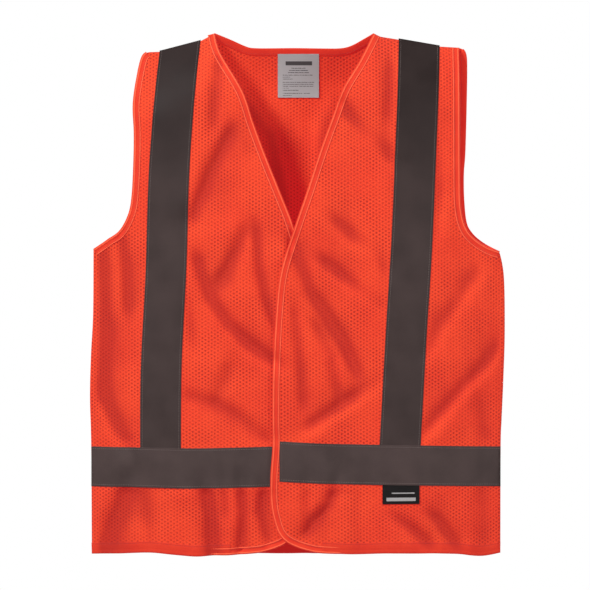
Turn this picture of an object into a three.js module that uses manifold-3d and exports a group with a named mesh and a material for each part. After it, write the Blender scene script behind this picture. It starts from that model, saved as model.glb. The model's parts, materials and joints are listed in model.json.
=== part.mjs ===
// High visibility mesh vest, upright as if it hung on a hanger, closed at the front.
// Millimetres. +X is the wearer's left, -Y is the front and +Z is up. The origin is midway
// between the two neck points, where a hanger's hook leaves the collar.
//
// Every cloth layer is cut from one gently bulged body surface, a little lens seen from above,
// so that layers which lie on each other keep the same small gap everywhere.

import * as THREE from 'three';
import { mergeVertices } from 'three/addons/utils/BufferGeometryUtils.js';
import Module from 'manifold-3d';

const wasm = await Module();
wasm.setup();

// Cut of the vest, flat
const BODY_LENGTH = 662;          // neck point to hem
const HALF_WIDTH = 260;           // middle to side seam
const NECK_HALF = 102;            // middle to neck point
const ARM_HALF = 208;             // middle to the shoulder's outer end
const SHOULDER_DROP = 20;         // fall of the shoulder from neck point to its outer end
const ARMHOLE_DEPTH = 276;        // neck point level to the underarm
const BACK_NECK_DROP = 19;        // neck point level to the back neck edge
const V_NECK_DEPTH = 250;         // neck point level to the crossing of the two fronts
const OVERLAP_HALF = 28;          // how far each front reaches past the middle
const CORNER_RADIUS = 60;         // rounded lower corner of each front

// Fullness of the hanging vest
const DEPTH_FRONT = 48;
const DEPTH_BACK = 34;
const FLAT_HALF = 32;             // flat stretch at the middle of front and back
const BULGE_POWER = 2.6;
const ARCH_HEIGHT = 90;           // how far below the shoulder ridge the full depth is reached

// Layers, measured outwards from the body surface
const GAP = 0.3;                  // running gap between neighbouring pieces
const CLOTH = 1;
const TAPE = 0.5;
const BINDING_WALL = 0.5;
const PATCH = 0.8;                // one half of the lower hook-and-loop patch
const LABEL = 0.4;
const TAB = 0.6;

// Trims
const TAPE_WIDTH = 50.8;
const BINDING_WIDTH = 8.5;
const HEM_WIDTH = 13;
const TAPE_ABOVE_HEM = 86.2;      // waist tape's lower edge to the hem
const SHOULDER_TAPE_HALF = 153;   // middle to the middle of a shoulder tape
const TAPE_SHIFT_TOP = 6;         // both front tapes lean towards the wearer's right
const TAPE_SHIFT_WAIST = -18.5;
const STEP_RISE = 6;              // length over which a shoulder tape climbs the waist tape
const CLOSURE_WIDTH = 16;
const CLOSURE_INSET = 1.4;        // upper front's binding to the top of the closure
const CLOSURE_BELOW_V = 89;
const CLOSURE_ABOVE_TAPE = 44;
const LOWER_PATCH_LENGTH = 39;
const LABEL_SIZE = [53, 55];
const LABEL_MIDDLE = 5;
const TAB_SIZE = [47, 24.4];

// Fold line of each front, inboard of the neck point and of the shoulder tapes
const FOLD_HALF = 98;
const LIFT_MARGIN = 4;            // past the lower front's edge the upper one still lies full height
const LIFT_RUN = 23;              // width over which it then comes down

// Levels that follow from the sizes above
const HEM = -BODY_LENGTH;
const WAIST_TAPE_BOTTOM = HEM + TAPE_ABOVE_HEM;
const WAIST_TAPE_TOP = WAIST_TAPE_BOTTOM + TAPE_WIDTH;
const LIFT_FULL = OVERLAP_HALF + LIFT_MARGIN;
const LIFT_START = LIFT_FULL + LIFT_RUN;
const CLOSURE_TOP = -V_NECK_DEPTH - CLOSURE_BELOW_V;
const CLOSURE_BOTTOM = WAIST_TAPE_TOP + CLOSURE_ABOVE_TAPE;
const LOWER_PATCH_TOP = WAIST_TAPE_TOP - (TAPE_WIDTH - LOWER_PATCH_LENGTH) / 2;
const LOWER_PATCH_BOTTOM = LOWER_PATCH_TOP - LOWER_PATCH_LENGTH;
const CLOTH_NEAR = GAP / 2;
const CLOTH_FAR = CLOTH_NEAR + CLOTH;
const TAPE_NEAR = CLOTH_FAR + GAP;
const TAPE_FAR = TAPE_NEAR + TAPE;
const BINDING_NEAR = CLOTH_NEAR - GAP - BINDING_WALL;
const BINDING_FAR = CLOTH_FAR + GAP + BINDING_WALL;
const OVERLAP_LIFT = CLOTH + TAPE + 2 * PATCH + 4 * GAP;
const STRIP = (OVERLAP_LIFT - CLOTH - 3 * GAP) / 2;
const BINDING_REACH = GAP + BINDING_WALL;
const FRONT = -1;
const BACK = 1;

// Lines of the grid that every layer shares: the places where its slope changes, and even steps
// between them
const WIDEST_COLUMN = 28;
const ARCH_ROWS = 6;
const ABOVE_RIDGE = 3;
const STEP_FOOT = WAIST_TAPE_TOP + 1;
const STEP_TOP = STEP_FOOT + STEP_RISE;
const GRID_X = gridColumns();
const ARCH_DROPS = archDrops();
const LOWER_LEVELS = [STEP_TOP, STEP_FOOT, HEM - 1];

// Distances below the shoulder ridge, from just above it to the foot of the arch
function archDrops() {
  const steps = Array.from({ length: ARCH_ROWS + 1 }, (_, i) => (ARCH_HEIGHT * i) / ARCH_ROWS);
  return [-ABOVE_RIDGE, ...steps];
}

function gridColumns() {
  const keys = [0, FLAT_HALF, LIFT_FULL, LIFT_START, NECK_HALF, ARM_HALF, HALF_WIDTH, HALF_WIDTH + 1];
  const sorted = [...new Set(keys)].sort((a, b) => a - b);
  const half = [];
  sorted.slice(1).forEach((end, i) => {
    const start = sorted[i];
    const cells = Math.ceil((end - start) / WIDEST_COLUMN);
    for (let cell = 1; cell <= cells; cell += 1) half.push(start + ((end - start) * cell) / cells);
  });
  return [...half.map((x) => -x).reverse(), 0, ...half];
}

const clamp01 = (value) => Math.min(1, Math.max(0, value));

// Height of the shoulder ridge at x
function ridge(x) {
  const slope = SHOULDER_DROP / (ARM_HALF - NECK_HALF);
  return -slope * Math.max(0, Math.abs(x) - NECK_HALF);
}

// Distance of the body surface from the middle plane
function depth(side, x, drop) {
  const across = clamp01((Math.abs(x) - FLAT_HALF) / (HALF_WIDTH - FLAT_HALF));
  const down = clamp01(drop / ARCH_HEIGHT);
  const full = side === FRONT ? DEPTH_FRONT : DEPTH_BACK;
  return full * (1 - across ** BULGE_POWER) * (1 - (1 - down) ** 2);
}

// Rise of the upper front where it lies on the lower one
const overlapLift = (x) => OVERLAP_LIFT * clamp01((LIFT_START - x) / (LIFT_START - LIFT_FULL));

// Rise of a shoulder tape where it lies on the waist tape
const waistStep = (x, z) => (TAPE + GAP) * clamp01((STEP_TOP - z) / STEP_RISE);

// Closed slab of cloth between two distances from the body surface, over the whole grid
function slab(side, near, far, rise = () => 0) {
  const levels = ARCH_DROPS.length + LOWER_LEVELS.length;
  const positions = [];
  for (const x of GRID_X) {
    for (let level = 0; level < levels; level += 1) {
      const inArch = level < ARCH_DROPS.length;
      const z = inArch ? ridge(x) - ARCH_DROPS[level] : LOWER_LEVELS[level - ARCH_DROPS.length];
      const surface = depth(side, x, ridge(x) - z) + rise(x, z);
      positions.push(x, side * (surface + near), z, x, side * (surface + far), z);
    }
  }
  const at = (column, level, layer) => 2 * (column * levels + level) + layer;
  const indices = [];
  const quad = (a, b, c, d) => {
    if (side === FRONT) indices.push(a, b, c, a, c, d);
    else indices.push(a, c, b, a, d, c);
  };
  const lastColumn = GRID_X.length - 1;
  const lastLevel = levels - 1;
  for (let i = 0; i < lastColumn; i += 1) {
    for (let k = 0; k < lastLevel; k += 1) {
      quad(at(i, k, 1), at(i, k + 1, 1), at(i + 1, k + 1, 1), at(i + 1, k, 1));
      quad(at(i, k, 0), at(i + 1, k, 0), at(i + 1, k + 1, 0), at(i, k + 1, 0));
    }
    quad(at(i, 0, 1), at(i + 1, 0, 1), at(i + 1, 0, 0), at(i, 0, 0));
    quad(at(i + 1, lastLevel, 1), at(i, lastLevel, 1), at(i, lastLevel, 0), at(i + 1, lastLevel, 0));
  }
  for (let k = 0; k < lastLevel; k += 1) {
    quad(at(0, k + 1, 1), at(0, k, 1), at(0, k, 0), at(0, k + 1, 0));
    quad(at(lastColumn, k, 1), at(lastColumn, k + 1, 1), at(lastColumn, k + 1, 0), at(lastColumn, k, 0));
  }
  return solid(positions, indices);
}

function solid(positions, indices) {
  const vertProperties = new Float32Array(positions);
  const triVerts = new Uint32Array(indices);
  return new wasm.Manifold(new wasm.Mesh({ numProp: 3, vertProperties, triVerts }));
}

// Prism that runs from front to back through the vest, of an outline drawn in X and Z
function prism(points) {
  const reach = 200;
  const shape = new THREE.Shape(points);
  const extruded = new THREE.ExtrudeGeometry(shape, { depth: 2 * reach, bevelEnabled: false });
  extruded.rotateX(Math.PI / 2);
  extruded.translate(0, reach, 0);
  extruded.deleteAttribute('normal');
  extruded.deleteAttribute('uv');
  const merged = mergeVertices(extruded, 1e-4);
  return solid(merged.attributes.position.array, merged.index.array);
}

const point = (x, z) => new THREE.Vector2(x, z);
const mirrored = (points) => points.map((p) => point(-p.x, p.y)).reverse();

function rectangle(left, right, bottom, top) {
  return prism([point(left, bottom), point(right, bottom), point(right, top), point(left, top)]);
}

// Outline whose stretches each move inwards by their own amount, to the left of travel.
// A stretch is { points, inset: [at its start, at its end] }.
function insetOutline(stretches) {
  const segments = [];
  for (const { points, inset } of stretches) {
    const last = points.length - 1;
    for (let i = 0; i < last; i += 1) {
      const along = points[i + 1].clone().sub(points[i]).normalize();
      const left = point(-along.y, along.x);
      const amount = (k) => inset[0] + (inset[1] - inset[0]) * (k / last);
      const start = points[i].clone().addScaledVector(left, amount(i));
      const end = points[i + 1].clone().addScaledVector(left, amount(i + 1));
      segments.push({ start, end });
    }
  }
  return segments.map((next, i) => {
    const previous = segments[(i + segments.length - 1) % segments.length];
    const u = previous.end.clone().sub(previous.start);
    const v = next.end.clone().sub(next.start);
    const cross = u.cross(v);
    const nearlyStraight = Math.abs(cross) < 0.02 * u.length() * v.length();
    if (nearlyStraight) return previous.end.clone().add(next.start).multiplyScalar(0.5);
    const reach = next.start.clone().sub(previous.start).cross(v) / cross;
    return previous.start.clone().addScaledVector(u, reach);
  });
}

// Neckline and front edge of the wearer's left front, from the neck point to the corner's start.
// The neckline eases out of the shoulder, runs straight at NECK_SLOPE, then turns down.
const NECK_SLOPE = 0.37;
const NECK_EASE = 60;
const NECK_STRAIGHT = 80;
const TURN_START = 55;
const TURN_END = 120;
const TURN_LENGTH = 180;

function frontEdge() {
  const neck = new THREE.CubicBezierCurve(
    point(NECK_HALF, 0),
    point(NECK_HALF - NECK_EASE / 2, -NECK_EASE),
    point(NECK_SLOPE * NECK_STRAIGHT, NECK_STRAIGHT - V_NECK_DEPTH),
    point(0, -V_NECK_DEPTH),
  );
  const turn = new THREE.CubicBezierCurve(
    point(0, -V_NECK_DEPTH),
    point(-NECK_SLOPE * TURN_START, -V_NECK_DEPTH - TURN_START),
    point(-OVERLAP_HALF, -V_NECK_DEPTH - TURN_END),
    point(-OVERLAP_HALF, -V_NECK_DEPTH - TURN_LENGTH),
  );
  return [...neck.getPoints(9), ...turn.getPoints(7).slice(1), point(-OVERLAP_HALF, HEM + CORNER_RADIUS)];
}

// Middle of the closure, which keeps clear of the binding where the front edge still leans in
function closureMiddle() {
  const edge = frontEdge();
  const below = edge.findIndex((p) => p.y < CLOSURE_TOP);
  const [from, to] = [edge[below - 1], edge[below]];
  const top = from.clone().lerp(to, (from.y - CLOSURE_TOP) / (from.y - to.y));
  return top.x + BINDING_WIDTH + BINDING_REACH + CLOSURE_INSET + CLOSURE_WIDTH / 2;
}

function roundedCorner() {
  const x = CORNER_RADIUS - OVERLAP_HALF;
  const z = HEM + CORNER_RADIUS;
  const arc = new THREE.EllipseCurve(x, z, CORNER_RADIUS, CORNER_RADIUS, Math.PI, 1.5 * Math.PI);
  return arc.getPoints(9);
}

// Armhole edge of the wearer's left side, from the underarm up to the shoulder: it leaves the
// side seam slanting up, rounds the armhole's corner, then runs straight up
const ARMHOLE_SLANT = 20;
const ARMHOLE_CORNER = 30;
const ARMHOLE_STRAIGHT = 86;

function armholeEdge() {
  const inner = ARM_HALF - 1;
  const curve = new THREE.CubicBezierCurve(
    point(HALF_WIDTH, -ARMHOLE_DEPTH),
    point(ARM_HALF + (HALF_WIDTH - ARM_HALF) / 3, ARMHOLE_SLANT - ARMHOLE_DEPTH),
    point(inner, ARMHOLE_CORNER - ARMHOLE_DEPTH),
    point(inner, ARMHOLE_STRAIGHT - ARMHOLE_DEPTH),
  );
  return [...curve.getPoints(9), point(ARM_HALF, -SHOULDER_DROP)];
}

// Back neck edge: level at the middle, rising to the neck points
function backNeckEdge() {
  const levelHalf = NECK_HALF / 2;
  const curve = new THREE.CubicBezierCurve(
    point(NECK_HALF, 0),
    point(NECK_HALF - BACK_NECK_DROP, -0.75 * BACK_NECK_DROP),
    point(levelHalf + BACK_NECK_DROP, -BACK_NECK_DROP),
    point(levelHalf, -BACK_NECK_DROP),
  );
  const half = curve.getPoints(6);
  return [...half, ...mirrored(half)];
}

const along = (points, start, end = start) => ({ points, inset: [start, end] });

// Outline of one front, inset at its bound edges and at its hem, and grown past its seams
function frontOutline(edge, hem, seam) {
  const corner = roundedCorner();
  const underarm = point(HALF_WIDTH, -ARMHOLE_DEPTH);
  return insetOutline([
    along(frontEdge(), edge),
    along(corner, edge, hem),
    along([corner[corner.length - 1], point(HALF_WIDTH, HEM)], hem),
    along([point(HALF_WIDTH, HEM), underarm], -seam),
    along(armholeEdge(), edge),
    along([point(ARM_HALF, -SHOULDER_DROP), point(NECK_HALF, 0)], -seam),
  ]);
}

function backOutline(edge, hem, seam) {
  const side = [point(HALF_WIDTH, HEM), point(HALF_WIDTH, -ARMHOLE_DEPTH)];
  const shoulder = [point(ARM_HALF, -SHOULDER_DROP), point(NECK_HALF, 0)];
  return insetOutline([
    along(backNeckEdge(), edge),
    along(mirrored(shoulder), -seam),
    along(mirrored(armholeEdge()), edge),
    along(mirrored(side), -seam),
    along([point(-HALF_WIDTH, HEM), point(HALF_WIDTH, HEM)], hem),
    along(side, -seam),
    along(armholeEdge(), edge),
    along(shoulder, -seam),
  ]);
}

// A bound panel's cloth, the pocket that its binding keeps clear of it, and the binding's rim.
// The wearer's left front rises over the right one, which is its mirror image without the rise.
function boundPanel(side, outline, rise) {
  const clothInset = BINDING_WALL + GAP;
  const turned = side === FRONT && !rise ? mirrored : (points) => points;
  const cut = (...insets) => prism(turned(outline(...insets)));
  const cloth = slab(side, CLOTH_NEAR, CLOTH_FAR, rise).intersect(cut(clothInset, clothInset, 0));
  const pocket = slab(side, CLOTH_NEAR - GAP, CLOTH_FAR + GAP, rise)
    .intersect(cut(BINDING_WALL, BINDING_WALL, GAP));
  const rim = slab(side, BINDING_NEAR, BINDING_FAR, rise)
    .intersect(cut(0, 0, BINDING_REACH))
    .subtract(cut(BINDING_WIDTH, HEM_WIDTH, 4 * BINDING_REACH));
  return { cloth, pocket, rim };
}

const leftFront = boundPanel(FRONT, frontOutline, overlapLift);
const rightFront = boundPanel(FRONT, frontOutline);
const back = boundPanel(BACK, backOutline);

// Regions that the pieces are cut at
const far = 400;
const roundNeck = NECK_HALF + 20;
const besideNeck = NECK_HALF + 40;
const belowArmhole = -ARMHOLE_DEPTH - 60;
const leftOfFold = rectangle(FOLD_HALF + GAP / 2, far, -2 * far, far);
const leftFlap = rectangle(-far, FOLD_HALF - GAP / 2, -2 * far, far);
const rightOfFold = rectangle(-far, -FOLD_HALF - GAP / 2, -2 * far, far);
const rightFlap = rectangle(-FOLD_HALF + GAP / 2, far, -2 * far, far);
const neckZone = rectangle(-roundNeck, roundNeck, -3 * BACK_NECK_DROP, far);
const hemZone = rectangle(-far, far, -2 * far, HEM + 2 * HEM_WIDTH);
const leftArmZone = rectangle(besideNeck, far, belowArmhole, far);
const rightArmZone = rectangle(-far, -besideNeck, belowArmhole, far);

// Binding that joins rims of front and back, clear of every panel inside it
function binding(rims, zone) {
  const joined = rims.map((rim) => rim.intersect(zone)).reduce((all, rim) => all.add(rim));
  const pockets = [leftFront.pocket, rightFront.pocket, back.pocket];
  return pockets.reduce((all, pocket) => all.subtract(pocket), joined);
}

const fixedLeftRim = leftFront.rim.intersect(leftOfFold);
const fixedRightRim = rightFront.rim.intersect(rightOfFold);
const fixedRims = [fixedLeftRim, fixedRightRim, back.rim];

// Front stretch of a waist tape, between the side seam and the front edge's binding
function frontWaistTape(rise) {
  const bound = frontOutline(BINDING_WIDTH + GAP, HEM_WIDTH, -GAP);
  const band = rectangle(-far, far, WAIST_TAPE_BOTTOM, WAIST_TAPE_TOP);
  const area = prism(rise ? bound : mirrored(bound)).intersect(band);
  return slab(FRONT, TAPE_NEAR, TAPE_FAR, rise).intersect(area);
}

function backWaistTape() {
  const area = rectangle(-HALF_WIDTH + GAP, HALF_WIDTH - GAP, WAIST_TAPE_BOTTOM, WAIST_TAPE_TOP);
  return slab(BACK, TAPE_NEAR, TAPE_FAR).intersect(area);
}

// Band that follows the shoulder ridge, from one height above it to another
function ridgeBand(low, high) {
  const xs = [-far, -NECK_HALF, NECK_HALF, far];
  const lower = xs.map((x) => point(x, ridge(x) + low));
  const upper = xs.map((x) => point(x, ridge(x) + high)).reverse();
  return prism([...lower, ...upper]);
}

// Shoulder tape in one length: up the front, over the ridge and down the back
function shoulderTape(sign) {
  const half = TAPE_WIDTH / 2;
  const middleTop = sign * SHOULDER_TAPE_HALF + TAPE_SHIFT_TOP;
  const run = (middleFoot) => prism([
    point(middleFoot - half, WAIST_TAPE_BOTTOM),
    point(middleFoot + half, WAIST_TAPE_BOTTOM),
    point(middleTop + half, 0),
    point(middleTop - half, 0),
  ]);
  const frontRun = run(sign * SHOULDER_TAPE_HALF + TAPE_SHIFT_WAIST);
  const backRun = run(sign * SHOULDER_TAPE_HALF);
  const below = ridgeBand(-2 * far, BINDING_REACH);
  const cap = ridgeBand(GAP, BINDING_REACH);
  const stretch = (side, area) => (
    slab(side, TAPE_NEAR, TAPE_FAR, waistStep).intersect(area).intersect(below));
  const over = (side, area) => slab(side, -GAP, TAPE_FAR).intersect(area).intersect(cap);
  return stretch(FRONT, frontRun)
    .add(stretch(BACK, backRun))
    .add(over(FRONT, frontRun))
    .add(over(BACK, backRun));
}

// Halves of the hook-and-loop closure: hook behind the upper front, loop on the lower one,
// where it lies on the cloth or on the waist tape
function hook(thickness, bottom, top) {
  const outer = CLOTH_NEAR - GAP;
  return slab(FRONT, outer - thickness, outer, overlapLift).intersect(closureArea(bottom, top));
}

function loop(thickness, base, bottom, top) {
  const near = base + GAP;
  return slab(FRONT, near, near + thickness).intersect(closureArea(bottom, top));
}

function closureArea(bottom, top) {
  const middle = closureMiddle();
  return rectangle(middle - CLOSURE_WIDTH / 2, middle + CLOSURE_WIDTH / 2, bottom, top);
}

function careLabel() {
  const [width, height] = LABEL_SIZE;
  const top = -BACK_NECK_DROP - BINDING_WIDTH - GAP;
  const area = rectangle(LABEL_MIDDLE - width / 2, LABEL_MIDDLE + width / 2, top - height, top);
  return slab(BACK, CLOTH_NEAR - GAP - LABEL, CLOTH_NEAR - GAP).intersect(area);
}

function makerTab() {
  const [width, height] = TAB_SIZE;
  const middle = SHOULDER_TAPE_HALF + TAPE_SHIFT_WAIST;
  const top = WAIST_TAPE_BOTTOM - GAP;
  const area = rectangle(middle - width / 2, middle + width / 2, top - height, top);
  return slab(FRONT, TAPE_NEAR, TAPE_NEAR + TAB).intersect(area);
}

const FINISHES = {
  mesh: { color: 0xf5421f, roughness: 0.85 },
  binding: { color: 0xe8391c, roughness: 0.8 },
  tape: { color: 0x4a4345, roughness: 0.5 },
  closure: { color: 0xf04a24, roughness: 0.95 },
  label: { color: 0xc9c5c6, roughness: 0.7 },
  tab: { color: 0x121212, roughness: 0.75 },
};
const materials = Object.fromEntries(
  Object.entries(FINISHES).map(([name, finish]) => [
    name,
    new THREE.MeshStandardMaterial({ metalness: 0, ...finish }),
  ]),
);

function mesh(name, finish, body) {
  const { vertProperties, triVerts } = body.getMesh();
  const geometry = new THREE.BufferGeometry();
  geometry.setAttribute('position', new THREE.BufferAttribute(Float32Array.from(vertProperties), 3));
  geometry.setIndex(new THREE.BufferAttribute(Uint32Array.from(triVerts), 1));
  geometry.computeVertexNormals();
  const made = new THREE.Mesh(geometry, materials[finish]);
  made.name = name;
  return made;
}

function fixedBody() {
  const body = new THREE.Group();
  const leftTape = frontWaistTape(overlapLift);
  const rightTape = frontWaistTape();
  body.add(
    mesh('back_panel', 'mesh', back.cloth),
    mesh('left_front_side_panel', 'mesh', leftFront.cloth.intersect(leftOfFold)),
    mesh('right_front_side_panel', 'mesh', rightFront.cloth.intersect(rightOfFold)),
    mesh('left_shoulder_tape', 'tape', shoulderTape(1)),
    mesh('right_shoulder_tape', 'tape', shoulderTape(-1)),
    mesh('back_waist_tape', 'tape', backWaistTape()),
    mesh('left_side_waist_tape', 'tape', leftTape.intersect(leftOfFold)),
    mesh('right_side_waist_tape', 'tape', rightTape.intersect(rightOfFold)),
    mesh('back_neck_binding', 'binding', binding(fixedRims, neckZone)),
    mesh('left_armhole_binding', 'binding', binding([fixedLeftRim, back.rim], leftArmZone)),
    mesh('right_armhole_binding', 'binding', binding([fixedRightRim, back.rim], rightArmZone)),
    mesh('hem_binding', 'binding', binding(fixedRims, hemZone)),
  );
  return body;
}

function leftFrontFlap() {
  const flap = new THREE.Group();
  const rim = leftFront.rim.intersect(leftFlap).subtract(leftFront.pocket);
  flap.add(
    mesh('left_front_flap_panel', 'mesh', leftFront.cloth.intersect(leftFlap)),
    mesh('left_front_edge_binding', 'binding', rim),
    mesh('left_flap_waist_tape', 'tape', frontWaistTape(overlapLift).intersect(leftFlap)),
    mesh('upper_hook_strip', 'closure', hook(STRIP, CLOSURE_BOTTOM, CLOSURE_TOP)),
    mesh('lower_hook_patch', 'closure', hook(PATCH, LOWER_PATCH_BOTTOM, LOWER_PATCH_TOP)),
  );
  return flap;
}

function rightFrontFlap() {
  const flap = new THREE.Group();
  const rim = rightFront.rim.intersect(rightFlap).subtract(rightFront.pocket);
  flap.add(
    mesh('right_front_flap_panel', 'mesh', rightFront.cloth.intersect(rightFlap)),
    mesh('right_front_edge_binding', 'binding', rim),
    mesh('right_flap_waist_tape', 'tape', frontWaistTape().intersect(rightFlap)),
    mesh('upper_loop_strip', 'closure', loop(STRIP, CLOTH_FAR, CLOSURE_BOTTOM, CLOSURE_TOP)),
    mesh('lower_loop_patch', 'closure', loop(PATCH, TAPE_FAR, LOWER_PATCH_BOTTOM, LOWER_PATCH_TOP)),
  );
  return flap;
}

function labels() {
  const group = new THREE.Group();
  group.add(mesh('care_label', 'label', careLabel()), mesh('maker_tab', 'tab', makerTab()));
  return group;
}

const group = new THREE.Group();
group.add(fixedBody(), leftFrontFlap(), rightFrontFlap(), labels());

export default group;
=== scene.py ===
"""High visibility mesh vest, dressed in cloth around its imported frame.

A Blender add-on that is run as a script. Metres. +X is the wearer's left, -Y the front, +Z up.
"""

import functools
import json
import math

import bmesh
import bpy
import numpy as np
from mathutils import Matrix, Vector
from mathutils.geometry import delaunay_2d_cdt


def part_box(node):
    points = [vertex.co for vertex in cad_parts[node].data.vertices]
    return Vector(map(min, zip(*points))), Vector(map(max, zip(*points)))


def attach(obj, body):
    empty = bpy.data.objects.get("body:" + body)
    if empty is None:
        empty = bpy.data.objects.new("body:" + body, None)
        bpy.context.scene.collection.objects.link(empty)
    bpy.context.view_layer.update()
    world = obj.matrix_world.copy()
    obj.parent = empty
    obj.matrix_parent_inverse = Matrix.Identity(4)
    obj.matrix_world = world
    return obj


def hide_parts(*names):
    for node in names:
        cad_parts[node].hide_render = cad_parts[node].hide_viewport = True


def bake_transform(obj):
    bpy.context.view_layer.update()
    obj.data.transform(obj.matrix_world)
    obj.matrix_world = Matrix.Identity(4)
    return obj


bl_info = {
    "name": "High visibility vest",
    "version": (1, 0, 0),
    "blender": (4, 5, 0),
    "location": "3D View > Sidebar > Vest",
    "description": "Makes the cloth, tapes, bindings and labels of a mesh safety vest",
    "category": "Object",
}

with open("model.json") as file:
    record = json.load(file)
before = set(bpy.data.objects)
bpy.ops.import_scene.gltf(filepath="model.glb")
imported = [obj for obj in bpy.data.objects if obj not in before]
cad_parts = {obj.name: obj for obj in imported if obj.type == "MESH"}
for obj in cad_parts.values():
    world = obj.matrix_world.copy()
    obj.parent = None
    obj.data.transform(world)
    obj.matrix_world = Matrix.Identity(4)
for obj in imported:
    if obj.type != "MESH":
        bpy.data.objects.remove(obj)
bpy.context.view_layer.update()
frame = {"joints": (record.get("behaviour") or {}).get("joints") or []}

FRONT, BACK = -1, 1


def low(node):
    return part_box(node)[0]


def high(node):
    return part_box(node)[1]


# ---------------------------------------------------------------- places that the frame gives
TAPE_BOTTOM, TAPE_TOP = low("back_waist_tape").z, high("back_waist_tape").z
CLOTH_FAR = 0.00115
BODY_DEPTH = {
    FRONT: -low("right_front_flap_panel").y - CLOTH_FAR,
    BACK: high("back_panel").y - CLOTH_FAR,
}
HINGES = {joint["name"]: joint for joint in frame["joints"]}
FOLD_X = HINGES["left_front_fold"]["pos_m"][0]
FOLD_Y = HINGES["left_front_fold"]["pos_m"][1]

# ---------------------------------------------------------------- layers, outwards from the body
CLOTH_NEAR = 0.00015
CLOTH_MIDDLE = 0.0006
TAPE_NEAR, TAPE_FAR = 0.0013, 0.0018
OVERLAP_LIFT = 0.0043  # the upper front over the lower one
LIFT_FROM, LIFT_TO = 0.078, 0.020  # where it starts to rise, and where it has risen
STEP_RISE = 0.0008  # the waist tape over a shoulder tape
STEP_RUN = 0.009
FLAT_HALF = 0.032
BULGE_POWER = 2.6
ARCH_HEIGHT = 0.09

# ---------------------------------------------------------------- the cut, as points (x, z)
SHOULDERS = [
    (-0.2000, -0.0262), (-0.1900, -0.0238), (-0.1710, -0.0232), (-0.1207, -0.0100), (-0.1020, 0.0),
    (0.1015, 0.0), (0.1085, -0.0038), (0.1346, -0.0080), (0.1840, -0.0165), (0.2095, -0.0180),
    (0.2190, -0.0215),
]
LEFT_SIDE = [
    (0.2616, -0.2785), (0.2672, -0.3110), (0.2682, -0.3820), (0.2664, -0.4420), (0.2642, -0.4920),
    (0.2630, -0.5270), (0.2626, -0.6617),
]
RIGHT_SIDE = [
    (-0.2565, -0.2756), (-0.2570, -0.3570), (-0.2597, -0.4100), (-0.2610, -0.4640),
    (-0.2594, -0.5260), (-0.2586, -0.6630),
]
LEFT_FRONT_EDGE = [
    (0.1015, 0.0), (0.0826, -0.0381), (0.0622, -0.0724), (0.0483, -0.1092), (0.0318, -0.1549),
    (0.0152, -0.2057), (0.0013, -0.2464), (-0.0165, -0.3035), (-0.0229, -0.3569), (-0.0266, -0.4280),
    (-0.0274, -0.4850), (-0.0270, -0.5250), (-0.0296, -0.5630), (-0.0292, -0.5980), (-0.0236, -0.6236),
    (-0.0180, -0.6360), (-0.0095, -0.6445), (0.0030, -0.6508), (0.0180, -0.6555), (0.0340, -0.6582),
]
RIGHT_FRONT_EDGE = [
    (-0.1025, 0.0), (-0.0940, -0.0279), (-0.0660, -0.0762), (-0.0521, -0.1168), (-0.0356, -0.1613),
    (-0.0178, -0.2057), (-0.0025, -0.2450), (0.0140, -0.3000), (0.0220, -0.3570), (0.0262, -0.4280),
    (0.0270, -0.5000), (0.0260, -0.5500), (0.0225, -0.5850), (0.0140, -0.6120), (0.0010, -0.6345),
    (-0.0105, -0.6455), (-0.0222, -0.6515), (-0.0394, -0.6568), (-0.0600, -0.6595), (-0.0800, -0.6608),
]
LEFT_FRONT_HEM = [
    (0.0340, -0.6582), (0.0750, -0.6600), (0.1143, -0.6592), (0.1650, -0.6598), (0.2032, -0.6612),
    (0.2375, -0.6650), (0.2626, -0.6617),
]
RIGHT_FRONT_HEM = [
    (-0.2586, -0.6630), (-0.2250, -0.6618), (-0.1842, -0.6592), (-0.1500, -0.6615), (-0.1219, -0.6630),
    (-0.0800, -0.6608),
]
BACK_HEM = [
    (-0.2586, -0.6630), (-0.1900, -0.6612), (-0.1000, -0.6640), (-0.0200, -0.6655), (0.0600, -0.6642),
    (0.1700, -0.6605), (0.2626, -0.6617),
]
BACK_NECK = [
    (0.1015, 0.0), (0.0902, -0.0064), (0.0737, -0.0150), (0.0600, -0.0184), (0.0400, -0.0188),
    (0.0, -0.0183), (-0.0350, -0.0186), (-0.0500, -0.0184), (-0.0610, -0.0168), (-0.0820, -0.0080),
    (-0.1025, 0.0),
]
LEFT_FRONT_ARMHOLE = [
    (0.2616, -0.2785), (0.2470, -0.2738), (0.2300, -0.2635), (0.2172, -0.2485), (0.2108, -0.2230),
    (0.2095, -0.1850), (0.2093, -0.1100), (0.2093, -0.0180),
]
LEFT_BACK_ARMHOLE = [
    (0.2616, -0.2785), (0.2490, -0.2722), (0.2385, -0.2655), (0.2280, -0.2560), (0.2200, -0.2420),
    (0.2168, -0.2150),
    (0.2160, -0.1800), (0.2180, -0.1500), (0.2196, -0.0900), (0.2196, -0.0330), (0.2150, -0.0200),
]
RIGHT_FRONT_ARMHOLE = [
    (-0.2565, -0.2756), (-0.2390, -0.2640), (-0.2220, -0.2520), (-0.2100, -0.2300), (-0.2055, -0.2030),
    (-0.2035, -0.1600), (-0.2032, -0.1257), (-0.2045, -0.0902), (-0.1995, -0.0520), (-0.1945, -0.0300),
    (-0.1890, -0.0238),
]
RIGHT_BACK_ARMHOLE = [
    (-0.2565, -0.2756), (-0.2370, -0.2620), (-0.2200, -0.2490), (-0.2080, -0.2270), (-0.2040, -0.2000),
    (-0.2030, -0.1600), (-0.2032, -0.1257), (-0.2045, -0.0902), (-0.1995, -0.0520), (-0.1945, -0.0300),
    (-0.1890, -0.0238),
]

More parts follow.
